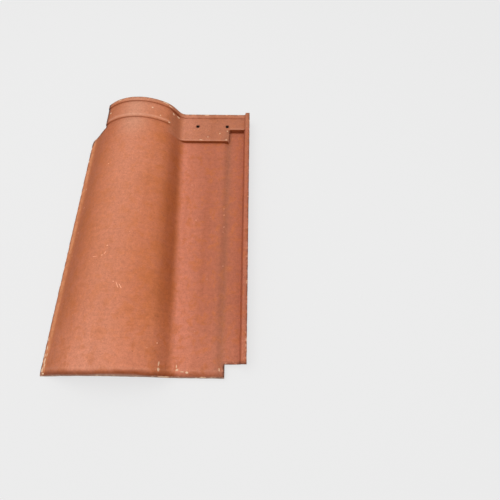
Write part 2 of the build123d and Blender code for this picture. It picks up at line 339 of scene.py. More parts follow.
@dataclass
class TileForm:
    """Heights of the top face and the underside, in millimetres.

    Distances x run from the left edge across the tile, y from the tail toward the head.
    """

    length: float = 430.0
    width: float = 270.0
    roll_height: tuple[float, float] = (54.0, 51.5)
    crest_radius: tuple[float, float] = (104.0, 86.0)
    shoulder_radius: float = 30.0
    shoulder_angle: float = math.radians(30.0)
    flank_angle: float = math.radians(55.0)
    foot_radius: float = 16.0
    wall: float = 10.0
    edge_lean: float = math.radians(45.0)
    edge_band: tuple[float, float] = (9.0, 7.0)
    edge_lip: float = 2.0
    edge_rest: float = 8.0
    pan: float = 13.0
    channel: tuple[float, float, float] = (227.0, 238.0, 3.0)
    rim_inner: float = 263.0
    rim_height: float = 23.0
    rim_underside: float = 13.0
    rim_round: float = 1.6
    rim_wall: float = 3.0
    rim_wall_top: float = 0.6
    turn: tuple[float, float] = (250.0, 0.5)
    turn_softness: float = 1.2
    turn_drop: float = 0.05
    strip_underside: float = 235.0
    pad_right: float = 236.5
    pad_length: float = 57.5
    pad_rise: float = 4.0
    pad_round: float = 1.6
    pad_corner: float = 5.0
    plug_length: float = 33.0
    collar_length: float = 41.0
    collar_rise: float = 1.4
    collar_round: float = 1.5
    collar_fade_angle: float = math.radians(44.0)
    collar_fade: float = 3.0
    lip_length: float = 8.5
    lip_rise: float = 1.1
    step_round: float = 0.9
    nose_length: float = 9.0
    nose_depth: float = 8.0
    head_notch: tuple[float, float] = (34.0, 385.5)
    head_notch_round: float = 10.0
    tail_notch: tuple[float, float] = (241.0, 17.5)
    nib: tuple[float, float] = (147.0, 264.0)
    nib_start: float = 414.5
    nib_rounds: tuple[float, float] = (14.5, 14.0)
    nib_edge: float = 1.2
    recess: float = 2.5
    recess_side: float = 1.2
    relief_ramp: float = 2.5
    plateau: tuple[float, float] = (70.0, 359.0)
    plateau_depth: float = 1.8
    plateau_left: tuple[float, float] = (8.3, 1.8)
    plateau_right: tuple[float, float] = (13.0, 2.5)
    rib_left: tuple[float, float] = (177.0, 168.5)
    rib_right: float = 238.5
    rib_half: float = 2.25
    rib_height: float = 3.0
    tail_foot: tuple[float, float] = (170.0, 241.0)
    tail_foot_length: float = 9.0
    tail_foot_run: float = 5.0
    edge_round: float = 0.9
    crust_room: float = 0.35

    def along(self, ends: tuple[float, float], y: Array) -> Array:
        """Value that changes evenly from the tail to the head."""
        return ends[0] + (ends[1] - ends[0]) * y / self.length

    def crest(self, y: Array) -> tuple[Array, Array, Array]:
        """Crest arc, tangent to the flank of the outer edge.

        Args:
            y: Distances from the tail.

        Returns:
            Place across and height of its centre, and its radius.
        """
        radius = self.along(self.crest_radius, y)
        top = self.along(self.roll_height, y)
        sine, cosine = math.sin(self.edge_lean), math.cos(self.edge_lean)
        run = (top - radius + radius * cosine - self.edge_band[1]) / sine
        return self.edge_band[0] + run * cosine + radius * sine, top - radius, radius

    def shoulder(self, y: Array) -> tuple[Array, Array]:
        """Tighter arc beside the crest.

        Args:
            y: Distances from the tail.

        Returns:
            Place across and height of its centre.
        """
        centre_x, centre_z, radius = self.crest(y)
        reach = radius - self.shoulder_radius
        start = self.shoulder_angle
        return centre_x + reach * math.sin(start), centre_z + reach * math.cos(start)

    def foot(self, y: Array, level: Array) -> Array:
        """Line where the hollow arc at the foot of the roll becomes level.

        Args:
            y: Distances from the tail.
            level: Height of the pan that the flank comes down to.

        Returns:
            Distances from the left edge.
        """
        sine, cosine = math.sin(self.flank_angle), math.cos(self.flank_angle)
        centre_x, centre_z = self.shoulder(y)
        flank_top = centre_z + self.shoulder_radius * cosine
        drop = (flank_top - level - self.foot_radius * (1.0 - cosine)) / sine
        return centre_x + (self.shoulder_radius + self.foot_radius) * sine + drop * cosine

    def roll(self, x: Array, y: Array, lift: Array, level: Array) -> Array:
        """Crest, shoulder, flank, foot and pan, lifted square to the surface.

        The crest and shoulder are arcs about their centres, z = c + sqrt(r^2 - (x - a)^2). The
        flank is the line that touches the shoulder and the foot, and the foot is an arc turned
        upside down that ends level at the height of the pan.

        Args:
            x: Distances from the left edge.
            y: Distances from the tail.
            lift: Distance off the surface, negative into the wall.
            level: Height of the pan that the flank comes down to.

        Returns:
            Heights.
        """
        centre_x, centre_z, radius = self.crest(y)
        side_x, side_z = self.shoulder(y)
        foot_x = self.foot(y, level)
        arc = centre_z + np.sqrt(np.maximum((radius + lift) ** 2 - (x - centre_x) ** 2, 0.0))
        small = self.shoulder_radius + lift
        side = side_z + np.sqrt(np.maximum(small**2 - (x - side_x) ** 2, 0.0))
        hollow_radius = self.foot_radius - lift
        hollow = level + self.foot_radius - np.sqrt(
            np.maximum(hollow_radius**2 - (x - foot_x) ** 2, 0.0))
        lean = self.flank_angle
        start_x = side_x + small * math.sin(lean)
        start_z = side_z + small * math.cos(lean)
        end_x = foot_x - hollow_radius * math.sin(lean)
        flank = start_z - (x - start_x) * math.tan(lean)
        shoulder_x = centre_x + (radius + lift) * math.sin(self.shoulder_angle)
        conditions = [x < shoulder_x, x < start_x, x < end_x, x < foot_x]
        return np.select(conditions, [arc, side, flank, hollow], level + lift)

    def top_edge(self, x: Array, y: Array, height: Array, lift: Array) -> Array:
        """Puts the flat band and the straight flank of the outer edge before the crest arc.

        Args:
            x: Distances from the left edge.
            y: Distances from the tail.
            height: Heights so far.
            lift: Distance off the surface, negative into the wall.

        Returns:
            Heights.
        """
        centre_x, centre_z, radius = self.crest(y)
        left = 1.0 + np.minimum(lift, 0.0) / self.wall
        band_x, band_z = self.edge_band[0], self.edge_band[1] * left
        start_x = centre_x - (radius + lift) * math.sin(self.edge_lean)
        start_z = centre_z + (radius + lift) * math.cos(self.edge_lean)
        flank = band_z + (x - band_x) * (start_z - band_z) / (start_x - band_x)
        low = self.edge_lip * left
        band = low + (band_z - low) * x / band_x
        return np.select([x < band_x, x < start_x], [band, flank], height)

    def strip(self, x: Array) -> Array:
        """Sunk channel and raised rim at the right.

        Args:
            x: Distances from the left edge.

        Returns:
            Heights.
        """
        start, end, depth = self.channel
        height = self.pan - depth * rises(x, start, end - start)
        wall = (x - self.rim_inner + self.rim_wall) / self.rim_wall
        height = height + (self.rim_height - self.pan + depth) * np.clip(wall, 0.0, 1.0)
        rounded = self.rim_inner - self.rim_wall_top
        inner = quarter((x - rounded) / self.rim_round)
        return height - self.rim_round * (1.0 - inner) * (x > rounded)

    def _pad_share(self, x: Array, y: Array) -> Array:
        """How far the rounded step of the nailing pad has risen, from 0 before it to 1 on it.

        Args:
            x: Distances from the left edge.
            y: Distances from the tail.

        Returns:
            Shares.
        """
        across = self.pad_right - x
        ahead = y - self.length + self.pad_length
        corner = self.pad_corner
        inside = corner - np.hypot(np.maximum(corner - across, 0.0), np.maximum(corner - ahead, 0.0))
        inside = np.where((across > corner) | (ahead > corner), np.minimum(across, ahead), inside)
        return quarter(inside / self.pad_round)

    def top(self, x: Array, y: Array) -> Array:
        """Height of the top face: roll, pan, strip, then pad, plug, collar, lip and nose.

        Args:
            x: Distances from the left edge.
            y: Distances from the tail.

        Returns:
            Heights.
        """
        inward = np.clip(self.nose_length - y, 0.0, None) / self.nose_length
        drop = self.nose_depth * (1.0 - np.sqrt(1.0 - inward**2))
        side_x, _ = self.shoulder(y)
        fade = falls(x, side_x + self.shoulder_radius * math.sin(self.collar_fade_angle),
                     self.collar_fade)
        collar = quarter((y - self.length + self.collar_length) / self.collar_round) * fade
        lift = self.collar_rise * collar - drop
        low = self.top_edge(x, y, self.roll(x, y, lift, self.pan + 0.0 * y), lift)
        strip = self.strip(x)
        strip = np.where(inward > 0.0, np.minimum(strip, self.pan - drop), strip)
        low = np.where(x > self.channel[0], strip, low)
        pad = self.pan + self.pad_rise
        padded = self.top_edge(x, y, self.roll(x, y, lift, pad + 0.0 * y), lift)
        height = low + (np.maximum(padded, low) - low) * self._pad_share(x, y)
        plug = quarter((y - self.length + self.plug_length) / self.pad_round)
        plug = plug * (x > self.pad_right - self.pad_corner)
        height = height + (np.maximum(height, pad) - height) * plug
        full = self.collar_rise + self.lip_rise
        lipped = self.roll(x, y, full + 0.0 * y, pad + self.lip_rise - full)
        lipped = np.where(x > self.rim_inner, 0.0, lipped)
        lip = quarter((y - self.length + self.lip_length) / self.step_round)
        return height + (np.maximum(lipped, height) - height) * lip

    def _hollow(self, x: Array, y: Array) -> Array:
        """Underside without its relief: hollow of the roll, pan and strip.

        Under the outer edge a line rises from the floor and touches the inner crest arc. The
        strip turns up as a soft bend, (r + sqrt(r^2 + c)) / 2 with r the rise of the turn.

        Args:
            x: Distances from the left edge.
            y: Distances from the tail.

        Returns:
            Heights.
        """
        centre_x, centre_z, radius = self.crest(y)
        inner = radius - self.wall
        across = centre_x - self.edge_rest
        reach = np.hypot(across, centre_z)
        lean = np.arctan2(centre_z, across) + np.arcsin(np.clip(inner / reach, -1.0, 1.0))
        touch_x = self.edge_rest + np.sqrt(reach**2 - inner**2) * np.cos(lean)
        height = self.roll(x, y, -self.wall + 0.0 * y, self.pan + 0.0 * y)
        slope = (x - self.edge_rest) * np.tan(lean)
        height = np.select([x < self.edge_rest, x < touch_x], [0.0 * x, slope], height)
        run = (x - self.turn[0]) * self.turn[1]
        bend = 0.5 * (run + np.sqrt(run**2 + self.turn_softness))
        turned = self.pan - self.wall + bend - self.turn_drop
        turned = turned + (self.rim_underside - turned) * rises(x, self.rim_inner - 1.0, 1.0)
        return np.where(x > self.strip_underside, np.minimum(turned, self.rim_underside), height)

    def under(self, x: Array, y: Array) -> Array:
        """Height of the underside: hollow roll, pan, strip, then recess, plateau, ribs, nib, foot.

        What the tile rests on is worn back by the thickness of the crust that lies on it.

        Args:
            x: Distances from the left edge.
            y: Distances from the tail.

        Returns:
            Heights.
        """
        height = self._hollow(x, y)
        floor = self.pan - self.wall
        rib_left = self.along(self.rib_left, y)
        recess = rises(y, self.plateau[1], self.relief_ramp)
        recess = recess * rises(x, rib_left - self.rib_half, self.recess_side)
        recess = recess * ease((self.rib_right + self.rib_half - x) / self.recess_side)
        height = height + (np.maximum(height, floor + self.recess) - height) * recess
        left, left_ramp = self.plateau_left
        right, right_ramp = self.plateau_right
        plateau = rises(x, rib_left - left, left_ramp)
        plateau = plateau * ease((self.rib_right + right - x) / right_ramp)
        plateau = plateau * rises(y, self.plateau[0], self.relief_ramp)
        plateau = plateau * ease((self.plateau[1] - y) / self.relief_ramp)
        low = floor - self.plateau_depth * plateau
        height = np.where(plateau > 0.0, np.minimum(height, low), height)
        height = np.minimum(height, self.rib(x - rib_left, y, height))
        height = np.minimum(height, self.rib(x - self.rib_right, y, height))
        height = height - self._nib(x, y, height)
        back = floor * rises(y, self.tail_foot_length, self.tail_foot_run)
        footed = (x >= self.tail_foot[0]) & (x <= self.tail_foot[1])
        height = np.where(footed, np.minimum(height, back), height)
        return np.maximum(height, self.crust_room)

    def _nib(self, x: Array, y: Array, height: Array) -> Array:
        """How far the batten nib stands down from the underside, with its large end rounds.

        Args:
            x: Distances from the left edge.
            y: Distances from the tail.
            height: Heights of the underside without the nib.

        Returns:
            Distances down.
        """
        left, right = x - self.nib[0], self.nib[1] - x
        small, large = self.nib_rounds
        low = np.maximum(
            small * (1.0 - quarter(left / small)), large * (1.0 - quarter(right / large)))
        front = quarter((y - self.nib_start) / self.nib_edge)
        return np.maximum(height - low, 0.0) * front * (left >= 0.0) * (right >= 0.0)

    def rib(self, off: Array, y: Array, height: Array) -> Array:
        """Height of a rounded rib, or the height around it where there is no rib.

        Args:
            off: Distances off the rib's middle.
            y: Distances from the tail.
            height: Heights around it.

        Returns:
            Heights.
        """
        radius = (self.rib_half**2 + self.rib_height**2) / (2.0 * self.rib_height)
        low = radius - np.sqrt(np.maximum(radius**2 - off**2, 0.0))
        shown = (np.abs(off) < self.rib_half) & (y > self.plateau[0]) & (y < self.plateau[1])
        return np.where(shown, low, height)

    def inset(self, x: Array, y: Array) -> Array:
        """Distance of a point of the plan from the nearest outer edge.

        Args:
            x: Distances from the left edge.
            y: Distances from the tail.

        Returns:
            Distances, 0 past the edge.
        """
        notch_x, notch_y = self.head_notch
        head = np.hypot(np.maximum(x - notch_x, 0.0), np.maximum(notch_y - y, 0.0))
        radius = self.head_notch_round
        corner_y = notch_y - radius
        corner = radius - np.hypot(np.maximum(radius - x, 0.0), np.maximum(y - corner_y, 0.0))
        rounded = (x < radius) & (y > corner_y) & (y <= notch_y)
        corner = np.where(rounded, corner, self.length)
        notch_x, notch_y = self.tail_notch
        tail = np.hypot(np.maximum(notch_x - x, 0.0), np.maximum(y - notch_y, 0.0))
        nearest = np.minimum.reduce([x, self.width - x, y, self.length - y, head, tail, corner])
        return np.maximum(nearest, 0.0)


@dataclass
class TileGrid:
    """Rows and columns that carry the surface of the tile, closer together at its features."""

    form: TileForm
    column_pitch: float = 2.5
    row_pitch: float = 3.1
    holes: tuple[tuple[float, float], ...] = ((182.0, 404.5), (232.0, 404.5))
    hole_radius: float = 2.5
    ring: int = 3
    block: float = 5.5
    block_inner: float = 3.9
    edge_steps: tuple[float, ...] = (0.0, 0.12, 0.35, 0.65, 0.9)
    rib_steps: tuple[float, ...] = (0.5, 1.2, 1.9, 2.25)
    plateau_steps: tuple[float, ...] = (-8.3, -7.4, -6.5)
    pad_steps: tuple[float, ...] = (0.0, 0.1, 0.4, 1.0)
    outer_columns: tuple[float, ...] = (8.0, 9.0)
    channel_columns: tuple[float, ...] = (227.0, 229.0, 230.7, 232.5, 234.3)
    turn_columns: tuple[float, ...] = (246.0, 248.5, 250.0, 251.5, 253.5, 256.5, 259.0)
    rim_columns: tuple[float, ...] = (260.0, 261.0, 262.0, 262.5, 263.0, 263.6, 264.4)
    tail_rows: tuple[float, ...] = (0.0, 0.15, 0.4, 0.8)
    heel_rows: tuple[float, ...] = (10.7, 12.4, 14.0)
    plateau_rows: tuple[float, ...] = (71.2, 72.5, 356.5, 357.8, 360.2, 361.5)
    corner_rows: tuple[float, ...] = (383.4, 381.6, 379.5, 377.5, 375.5)
    step_before: tuple[float, float] = (1.1, 0.35)
    step_after: tuple[float, float] = (0.7, 1.8)
    column_gap: float = 0.8
    row_gap: float = 0.9
    shift_places: tuple[float, ...] = (0.0, 40.0, 140.0, 176.0, 206.0)
    shift_shares: tuple[float, ...] = (0.0, 0.0, 1.0, 1.0, 0.0)
    shift_end: float = 362.0
    shift_samples: int = 5401
    columns: Array = field(init=False)
    rows: Array = field(init=False)

    def __post_init__(self) -> None:
        """Works out the stations."""
        self.columns = self._columns()
        self.rows = self._rows()

    def _edge(self, place: float, direction: float) -> list[float]:
        """Stations of a rounded outer edge."""
        return [place + direction * step for step in self.edge_steps]

    def _step(self, start: float, width: float) -> list[float]:
        """Stations of a raised step with a rounded front edge.

        Args:
            start: Where the step starts.
            width: Width of its rounded edge.

        Returns:
            The stations.
        """
        before = [start - gap for gap in self.step_before]
        after = [start + width + gap for gap in self.step_after]
        return [*before, *quarter_stations(start, width, 5), *after]

    def _hole(self, middle: float) -> list[float]:
        """Stations through a hole and the block around it.

        Args:
            middle: Place of the hole's middle.

        Returns:
            The stations.
        """
        inner = np.linspace(-self.hole_radius, self.hole_radius, 2 * self.ring + 1)
        outer = (-self.block, -self.block_inner, self.block_inner, self.block)
        return [middle + step for step in (*inner, *outer)]

    def _columns(self) -> Array:
        """Columns, before the shift toward the left rib.

        Returns:
            Distances from the left edge.
        """
        form = self.form
        middle = 0.5 * sum(form.rib_left)
        rib = [*(-step for step in self.rib_steps[::-1]), *self.rib_steps]
        left_rib = [*self.plateau_steps, *rib]
        features = [
            *self._edge(0.0, 1.0), *self.outer_columns, *self._edge(form.head_notch[0], 1.0),
            *self._unshift(quarter_stations(form.nib[0], form.nib_rounds[0], 8)),
            *(form.nib[1] - quarter_stations(0.0, form.nib_rounds[1], 7)),
            *[middle + step for step in left_rib],
            *[form.rib_right + step for step in rib],
            *(form.pad_right - form.pad_round * (1.0 - np.array(self.pad_steps))),
            *self.channel_columns, *self._edge(form.tail_notch[0], -1.0),
            *self.turn_columns, *self.rim_columns, *self._edge(form.width, -1.0),
        ]
        for x, _ in self.holes:
            features += list(self._unshift(np.array(self._hole(x))))
        base = np.arange(self.column_pitch, form.width, self.column_pitch)
        return merged(features, base, self.column_gap)

    def _rows(self) -> Array:
        """Rows.

        Returns:
            Distances from the tail.
        """
        form = self.form
        head = form.length
        features = [
            *self.tail_rows, *quarter_stations(0.0, form.nose_length, 9),
            *self.heel_rows, *self._edge(form.tail_notch[1], 1.0),
            *form.plateau, *self.plateau_rows,
            *self._step(head - form.pad_length, form.pad_round),
            *self._edge(form.head_notch[1], -1.0), *self.corner_rows,
            *self._step(head - form.collar_length, form.collar_round),
            *self._step(head - form.plug_length, form.pad_round),
            *self._hole(self.holes[0][1]),
            *quarter_stations(form.nib_start, form.nib_edge, 4),
            *self._step(head - form.lip_length, form.step_round),
            *self._edge(head, -1.0),
        ]
        base = np.arange(self.row_pitch, head, self.row_pitch)
        return merged(features, base, self.row_gap)

    def _shift(self, columns: Array, y: Array | float) -> Array:
        """Sideways shift that keeps the columns on the left rib, which follows the roll.

        Args:
            columns: Distances from the left edge before the shift.
            y: Distances from the tail.

        Returns:
            Distances to the right.
        """
        form = self.form
        middle = 0.5 * sum(form.rib_left)
        share = np.interp(columns, self.shift_places, self.shift_shares)
        return (form.along(form.rib_left, np.minimum(y, self.shift_end)) - middle) * share

    def _unshift(self, places: Array) -> Array:
        """Columns that land on these places at the head, past the end of the shift."""
        fine = np.linspace(0.0, self.form.width, self.shift_samples)
        return np.interp(places, fine + self._shift(fine, self.shift_end), fine)

    def plan(self) -> tuple[Array, Array, Array]:
        """Places of the grid points in plan, and which cells are clay.

        Returns:
            Distances from the left edge, distances from the tail, and one flag a cell.
        """
        form = self.form
        column, y = np.meshgrid(self.columns, self.rows)
        x = column + self._shift(column, y)
        notch_x, notch_y = form.head_notch
        radius = form.head_notch_round
        rise = np.clip(y - notch_y + radius, 0.0, radius)
        start = radius - np.sqrt(np.maximum(radius**2 - rise**2, 0.0))
        start = np.where(y > notch_y, 0.0, start)
        x = np.where(x < notch_x, start + x * (1.0 - start / notch_x), x)
        middle_x = 0.5 * (x[1:, 1:] + x[:-1, :-1])
        middle_y = 0.5 * (y[1:, 1:] + y[:-1, :-1])
        clay = ~((middle_x < notch_x) & (middle_y > notch_y))
        clay &= ~((middle_x > form.tail_notch[0]) & (middle_y < form.tail_notch[1]))
        for hole_x, hole_y in self.holes:
            across, ahead = middle_x - hole_x, middle_y - hole_y
            clay &= ~(np.maximum(np.abs(across), np.abs(ahead)) < self.hole_radius)
            x, y = self._rounded(x, y, hole_x, hole_y)
        return x, y, clay

    def _rounded(self, x: Array, y: Array, hole_x: float, hole_y: float) -> tuple[Array, Array]:
        """Bends the square rings around a hole into circles, fading out to the block's edge.

        Args:
            x: Distances from the left edge.
            y: Distances from the tail.
            hole_x: Place of the hole's middle across the tile.
            hole_y: Place of the hole's middle along the tile.

        Returns:
            The same distances, bent.
        """
        across, ahead = x - hole_x, y - hole_y
        square = np.maximum(np.abs(across), np.abs(ahead))
        reach = np.maximum(np.hypot(across, ahead), 1e-6)
        share = 1.0 - ease((square - self.hole_radius) / (self.block - self.hole_radius))
        share = np.where(square < self.block, share, 0.0)
        scale = 1.0 + share * (square / reach - 1.0)
        return hole_x + across * scale, hole_y + ahead * scale


class Face(Enum):
    """Side of the tile that a mark lies on."""

    TOP = 1.0
    UNDERSIDE = -1.0


def joined(*tables: dict[str, Array]) -> dict[str, Array]:
    """Puts tables together, with the larger number where two of them share a name.

    Args:
        tables: Numbers by name.

    Returns:
        One table.
    """
    whole: dict[str, Array] = {}
    for table in tables:
        for name, values in table.items():
            whole[name] = np.maximum(whole[name], values) if name in whole else values
    return whole


@dataclass
class Weathering:
    """Numbers that the clay's material reads for each point of the plan, mostly from 0 to 1.

    Each is a smooth step or a bell curve of the distance from some line of the tile, times its
    strength. A ramp is where a step starts and how far it runs, a spot is the middle and the
    spread of a bell curve, all in millimetres. The two faces share a name where the same colour
    is laid on both.
    """

    grid: TileGrid
    x: Array
    y: Array
    worn_spread: float = 1.5
    fringe_reach: float = 5.0
    crown_shift: tuple[float, float] = (11.0, 4.0)
    crown_spread: tuple[float, float] = (36.0, 33.0)
    crown_narrowing: tuple[float, float] = (12.0, 9.0)
    narrow_ramp: tuple[float, float] = (320.0, 60.0)
    low_ramp: tuple[float, float] = (60.0, 90.0)
    flank_back: float = 20.0
    flank_spread: float = 12.0
    crease_back: tuple[float, float] = (12.5, 13.5)
    crease_spread: tuple[float, float] = (7.0, 4.5)
    left_middle: float = 22.0
    left_spread: tuple[float, float] = (25.0, 13.0)
    left_ramp: tuple[float, float] = (25.0, 125.0)
    notch_spread: float = 9.0
    notch_from: float = 330.0
    band_ramp: tuple[float, float] = (8.0, 12.0)
    brim_ramp: tuple[float, float] = (5.0, 7.5)
    brim_at_lip: tuple[float, float] = (4.0, 3.0)
    glow_ramp_across: tuple[float, float] = (4.0, 28.0)
    glow_ramp_along: tuple[float, float] = (15.0, 95.0)
    glow_back: float = 12.0
    glow_spread: float = 45.0
    glow_spot_across: tuple[float, float] = (72.0, 20.0)
    glow_spot_along: tuple[float, float] = (18.0, 22.0)
    pan_near_ramp: tuple[float, float] = (-12.0, 10.0)
    pan_far_ramp: tuple[float, float] = (-4.0, 42.0)
    channel_middle: float = 236.0
    channel_spread: tuple[float, float] = (8.0, 5.0)
    dust_edge: tuple[float, float] = (26.0, 12.0)
    dust_ramp: tuple[float, float] = (340.0, 45.0)
    collar_dust_ramp: tuple[float, float] = (386.0, 5.0)
    pad_edge: tuple[float, float] = (-6.0, 4.0)
    pad_darkening_ramp: tuple[float, float] = (8.0, 40.0)
    collar_start: tuple[float, float] = (30.0, 8.0)
    collar_end: tuple[float, float] = (18.0, 5.0)
    pad_start: tuple[float, float] = (-16.0, 10.0)
    lip_fade: tuple[float, float] = (146.0, 8.0)
    groove_spread: tuple[float, float] = (2.0, 0.6)
    groove_reach: float = 3.5
    nose_ramp: tuple[float, float] = (2.6, 5.6)
    nose_delay: float = 1.5
    delay_start: tuple[float, float] = (103.0, 20.0)
    delay_end: tuple[float, float] = (138.0, 20.0)
    foot_ramp: tuple[float, float] = (0.3, 1.8)
    foot_extra: tuple[float, float] = (0.6, 0.8)
    extra_start: tuple[float, float] = (80.0, 22.0)
    extra_end: tuple[float, float] = (138.0, 15.0)
    nose_line: tuple[float, float] = (0.5, 1.2)
    bore_reach: float = 0.5
    halo_spot: tuple[float, float] = (1.1, 0.8)
    plateau_edges: tuple[float, float] = (9.0, 14.0)
    plateau_run: float = 2.0
    nib_edge: tuple[float, float] = (3.0, 6.0)
    nib_shade: tuple[float, float] = (0.25, 1.1)
    front_spot: tuple[float, float] = (0.4, 1.1)
    back_spot: tuple[float, float] = (2.2, 2.4)
    heel_spread: float = 1.6
    pink_ramp: tuple[float, float] = (8.0, 95.0)
    pink_from: float = 12.0
    wall_back: float = 8.0
    wall_spread: tuple[float, float] = (40.0, 20.0)
    outer_spot: tuple[float, float] = (16.0, 26.0)
    outer_ramp: tuple[float, float] = (5.0, 3.0)
    beside_right: tuple[float, float] = (12.0, 4.5)
    beside_left: tuple[float, float] = (-9.0, 4.0)
    strip_ramp: tuple[float, float] = (252.0, 7.0)
    inner_run: float = 110.0
    deep_back: float = 20.0
    deep_spread: tuple[float, float] = (13.0, 8.0)
    deep_spot: tuple[float, float] = (13.5, 7.0)
    deep_ramp: tuple[float, float] = (6.0, 3.0)
    deep_run: float = 60.0
    grime_ramp: tuple[float, float] = (6.5, 2.5)
    soot_spread: tuple[float, float] = (2.2, 2.4)
    soot_below: float = 3.0
    soot_notch: tuple[float, float] = (270.0, 80.0)
    soot_deep: tuple[float, float] = (368.0, 8.0)
    soot_head: tuple[float, float] = (424.0, 3.0)
    soot_corner_across: tuple[float, float] = (228.0, 8.0)
    soot_corner_along: tuple[float, float] = (14.0, 8.0)
    soot_edge: tuple[float, float] = (6.0, 4.0)
    soot_tail: tuple[float, float] = (18.0, 16.0)
    form: TileForm = field(init=False)
    crest_x: Array = field(init=False)
    side_x: Array = field(init=False)
    off_foot: Array = field(init=False)
    rib_x: Array = field(init=False)
    inset: Array = field(init=False)
    narrow: Array = field(init=False)
    low: Array = field(init=False)
    crown: Array = field(init=False)
    on_plateau: Array = field(init=False)

    def __post_init__(self) -> None:
        """Works out the lines that most numbers follow."""
        self.form = self.grid.form
        form, y = self.form, self.y
        self.crest_x, _, _ = form.crest(y)
        self.side_x, _ = form.shoulder(y)
        self.off_foot = self.x - form.foot(y, form.pan + 0.0 * y)
        self.rib_x = form.along(form.rib_left, y)
        self.inset = form.inset(self.x, y)
        self.narrow = rises(y, *self.narrow_ramp)
        self.low = falls(y, *self.low_ramp)
        # The crown is a painted highlight: the band along the crest that takes the pink.
        before, after = self.crown_spread
        less_before, less_after = self.crown_narrowing
        self.crown = lopsided(
            self.x, self.crest_x - form.along(self.crown_shift, y),
            before - less_before * self.narrow, after - less_after * self.narrow)
        left, right = self.plateau_edges
        self.on_plateau = rises(self.x, self.rib_x - left, self.plateau_run)
        self.on_plateau = self.on_plateau * ease(
            (form.rib_right + right - self.x) / self.plateau_run)

    def table(self) -> dict[str, tuple[Array, Array]]:
        """All the numbers.

        Returns:
            For each name the numbers of the top face and those of the underside.
        """
        top = joined(self._edges(), self._roll(), self._pan(), self._head(), self._steps(),
                     self._tail())
        under = joined(self._edges(), self._relief(), self._hollows())
        # The underside takes a weaker copy of the crown's painted highlight.
        under |= {"crown": 0.3 * self.crown, "foot": 0.3 * top["foot"]}
        bore, halo = self._bores()
        # Painted shade of the nail holes on both faces, with the pale ring only below.
        top, under = joined(top, {"bore": 0.75 * bore}), joined(under, {"bore": bore, "ridge": halo})
        top["soot"], under["soot"] = self._soot()
        zero = np.zeros_like(self.x)
        return {name: (top.get(name, zero), under.get(name, zero)) for name in {**top, **under}}

    def _edges(self) -> dict[str, Array]:
        """Worn outer edges and the dirty fringe inside them, the same on both faces."""
        return {"worn": bell(self.inset, 0.0, self.worn_spread),
                "fringe": np.exp(-self.inset / self.fringe_reach)}

    def _roll(self) -> dict[str, Array]:
        """Painted highlights on the crown and toward the tail, painted shade on the flank, crease and
        left side.

        Returns:
            Numbers of the top face by name.
        """
        form, x, y = self.form, self.x, self.y
        # Painted shade on the roll's flank, weaker toward the tail.
        flank = bell(self.off_foot, -self.flank_back, self.flank_spread)
        # Painted shade in the crease at the foot of the roll.
        crease = lopsided(self.off_foot, -form.along(self.crease_back, y), *self.crease_spread)
        # Painted shade on the left side of the roll and beside the head notch.
        spread, more = self.left_spread
        left = bell(x, self.left_middle, spread + more * self.narrow)
        left = left * (0.62 + 0.82 * rises(y, *self.left_ramp))
        beside_notch = np.hypot(np.maximum(x - form.head_notch[0], 0.0),
                                np.maximum(form.head_notch[1] - y, 0.0))
        by_notch = 1.3 * bell(beside_notch, 0.0, self.notch_spread) * (y > self.notch_from)
        back, run = self.brim_at_lip
        lip = 0.7 * rises(y, form.length - back, run) * (x < form.rim_inner)
        # Painted highlight: paler pink toward the tail, and a spot on the roll.
        glow = 0.4 * rises(x, *self.glow_ramp_across)
        glow = glow + 0.6 * bell(x, self.crest_x - self.glow_back, self.glow_spread)
        spot = bell(x, *self.glow_spot_across) * bell(y, *self.glow_spot_along)
        return {"crown": self.crown, "flank": flank * (1.0 - 0.8 * self.low),
                "crease": crease * (1.0 - 0.4 * self.low), "left": np.maximum(left, by_notch),
                "band": falls(x, *self.band_ramp),
                "brim": np.maximum(falls(x, *self.brim_ramp), lip),
                "glow": glow * falls(y, *self.glow_ramp_along) + 0.5 * spot}

    def _pan(self) -> dict[str, Array]:
        """Pinker pan that turns brick red away from the roll, and the channel darkened by dirt and
        painted shade.

        Returns:
            Numbers of the top face by name.
        """
        # The channel's darkening is dirt and a painted shadow of a neighbouring tile.
        channel = lopsided(self.x, self.channel_middle, *self.channel_spread)
        return {"pan_near": 0.72 * rises(self.off_foot, *self.pan_near_ramp),
                "pan_far": 0.85 * rises(self.off_foot, *self.pan_far_ramp),
                "channel": channel * (self.y < self.form.length - self.form.plug_length)}

    def _head(self) -> dict[str, Array]:
        """Dust on the upper roll, the pad and the lip, and the pad darker toward the right.

        Returns:
            Numbers of the top face by name.
        """
        form, x, y = self.form, self.x, self.y
        reach, run = self.dust_edge
        on_roll = ease((self.side_x + reach - x) / run)
        on_pad = (y > form.length - form.pad_length) * (x < form.pad_right)
        on_pad = np.maximum(on_pad, 1.0 * (y > form.length - form.plug_length))
        dust = np.maximum.reduce([
            on_roll * self.crown * (0.25 + 0.70 * rises(y, *self.dust_ramp)),
            on_roll * rises(y, *self.collar_dust_ramp) * (0.25 + 0.6 * self.crown),
            0.5 * (1.0 - on_roll) * on_pad,
            1.2 * rises(y, form.length - form.lip_length, form.lip_length)])
        pad_darkening = 0.13 + 0.20 * rises(self.off_foot, *self.pad_darkening_ramp)
        return {"dust": dust, "hollow": on_pad * rises(self.off_foot, *self.pad_edge) * pad_darkening}

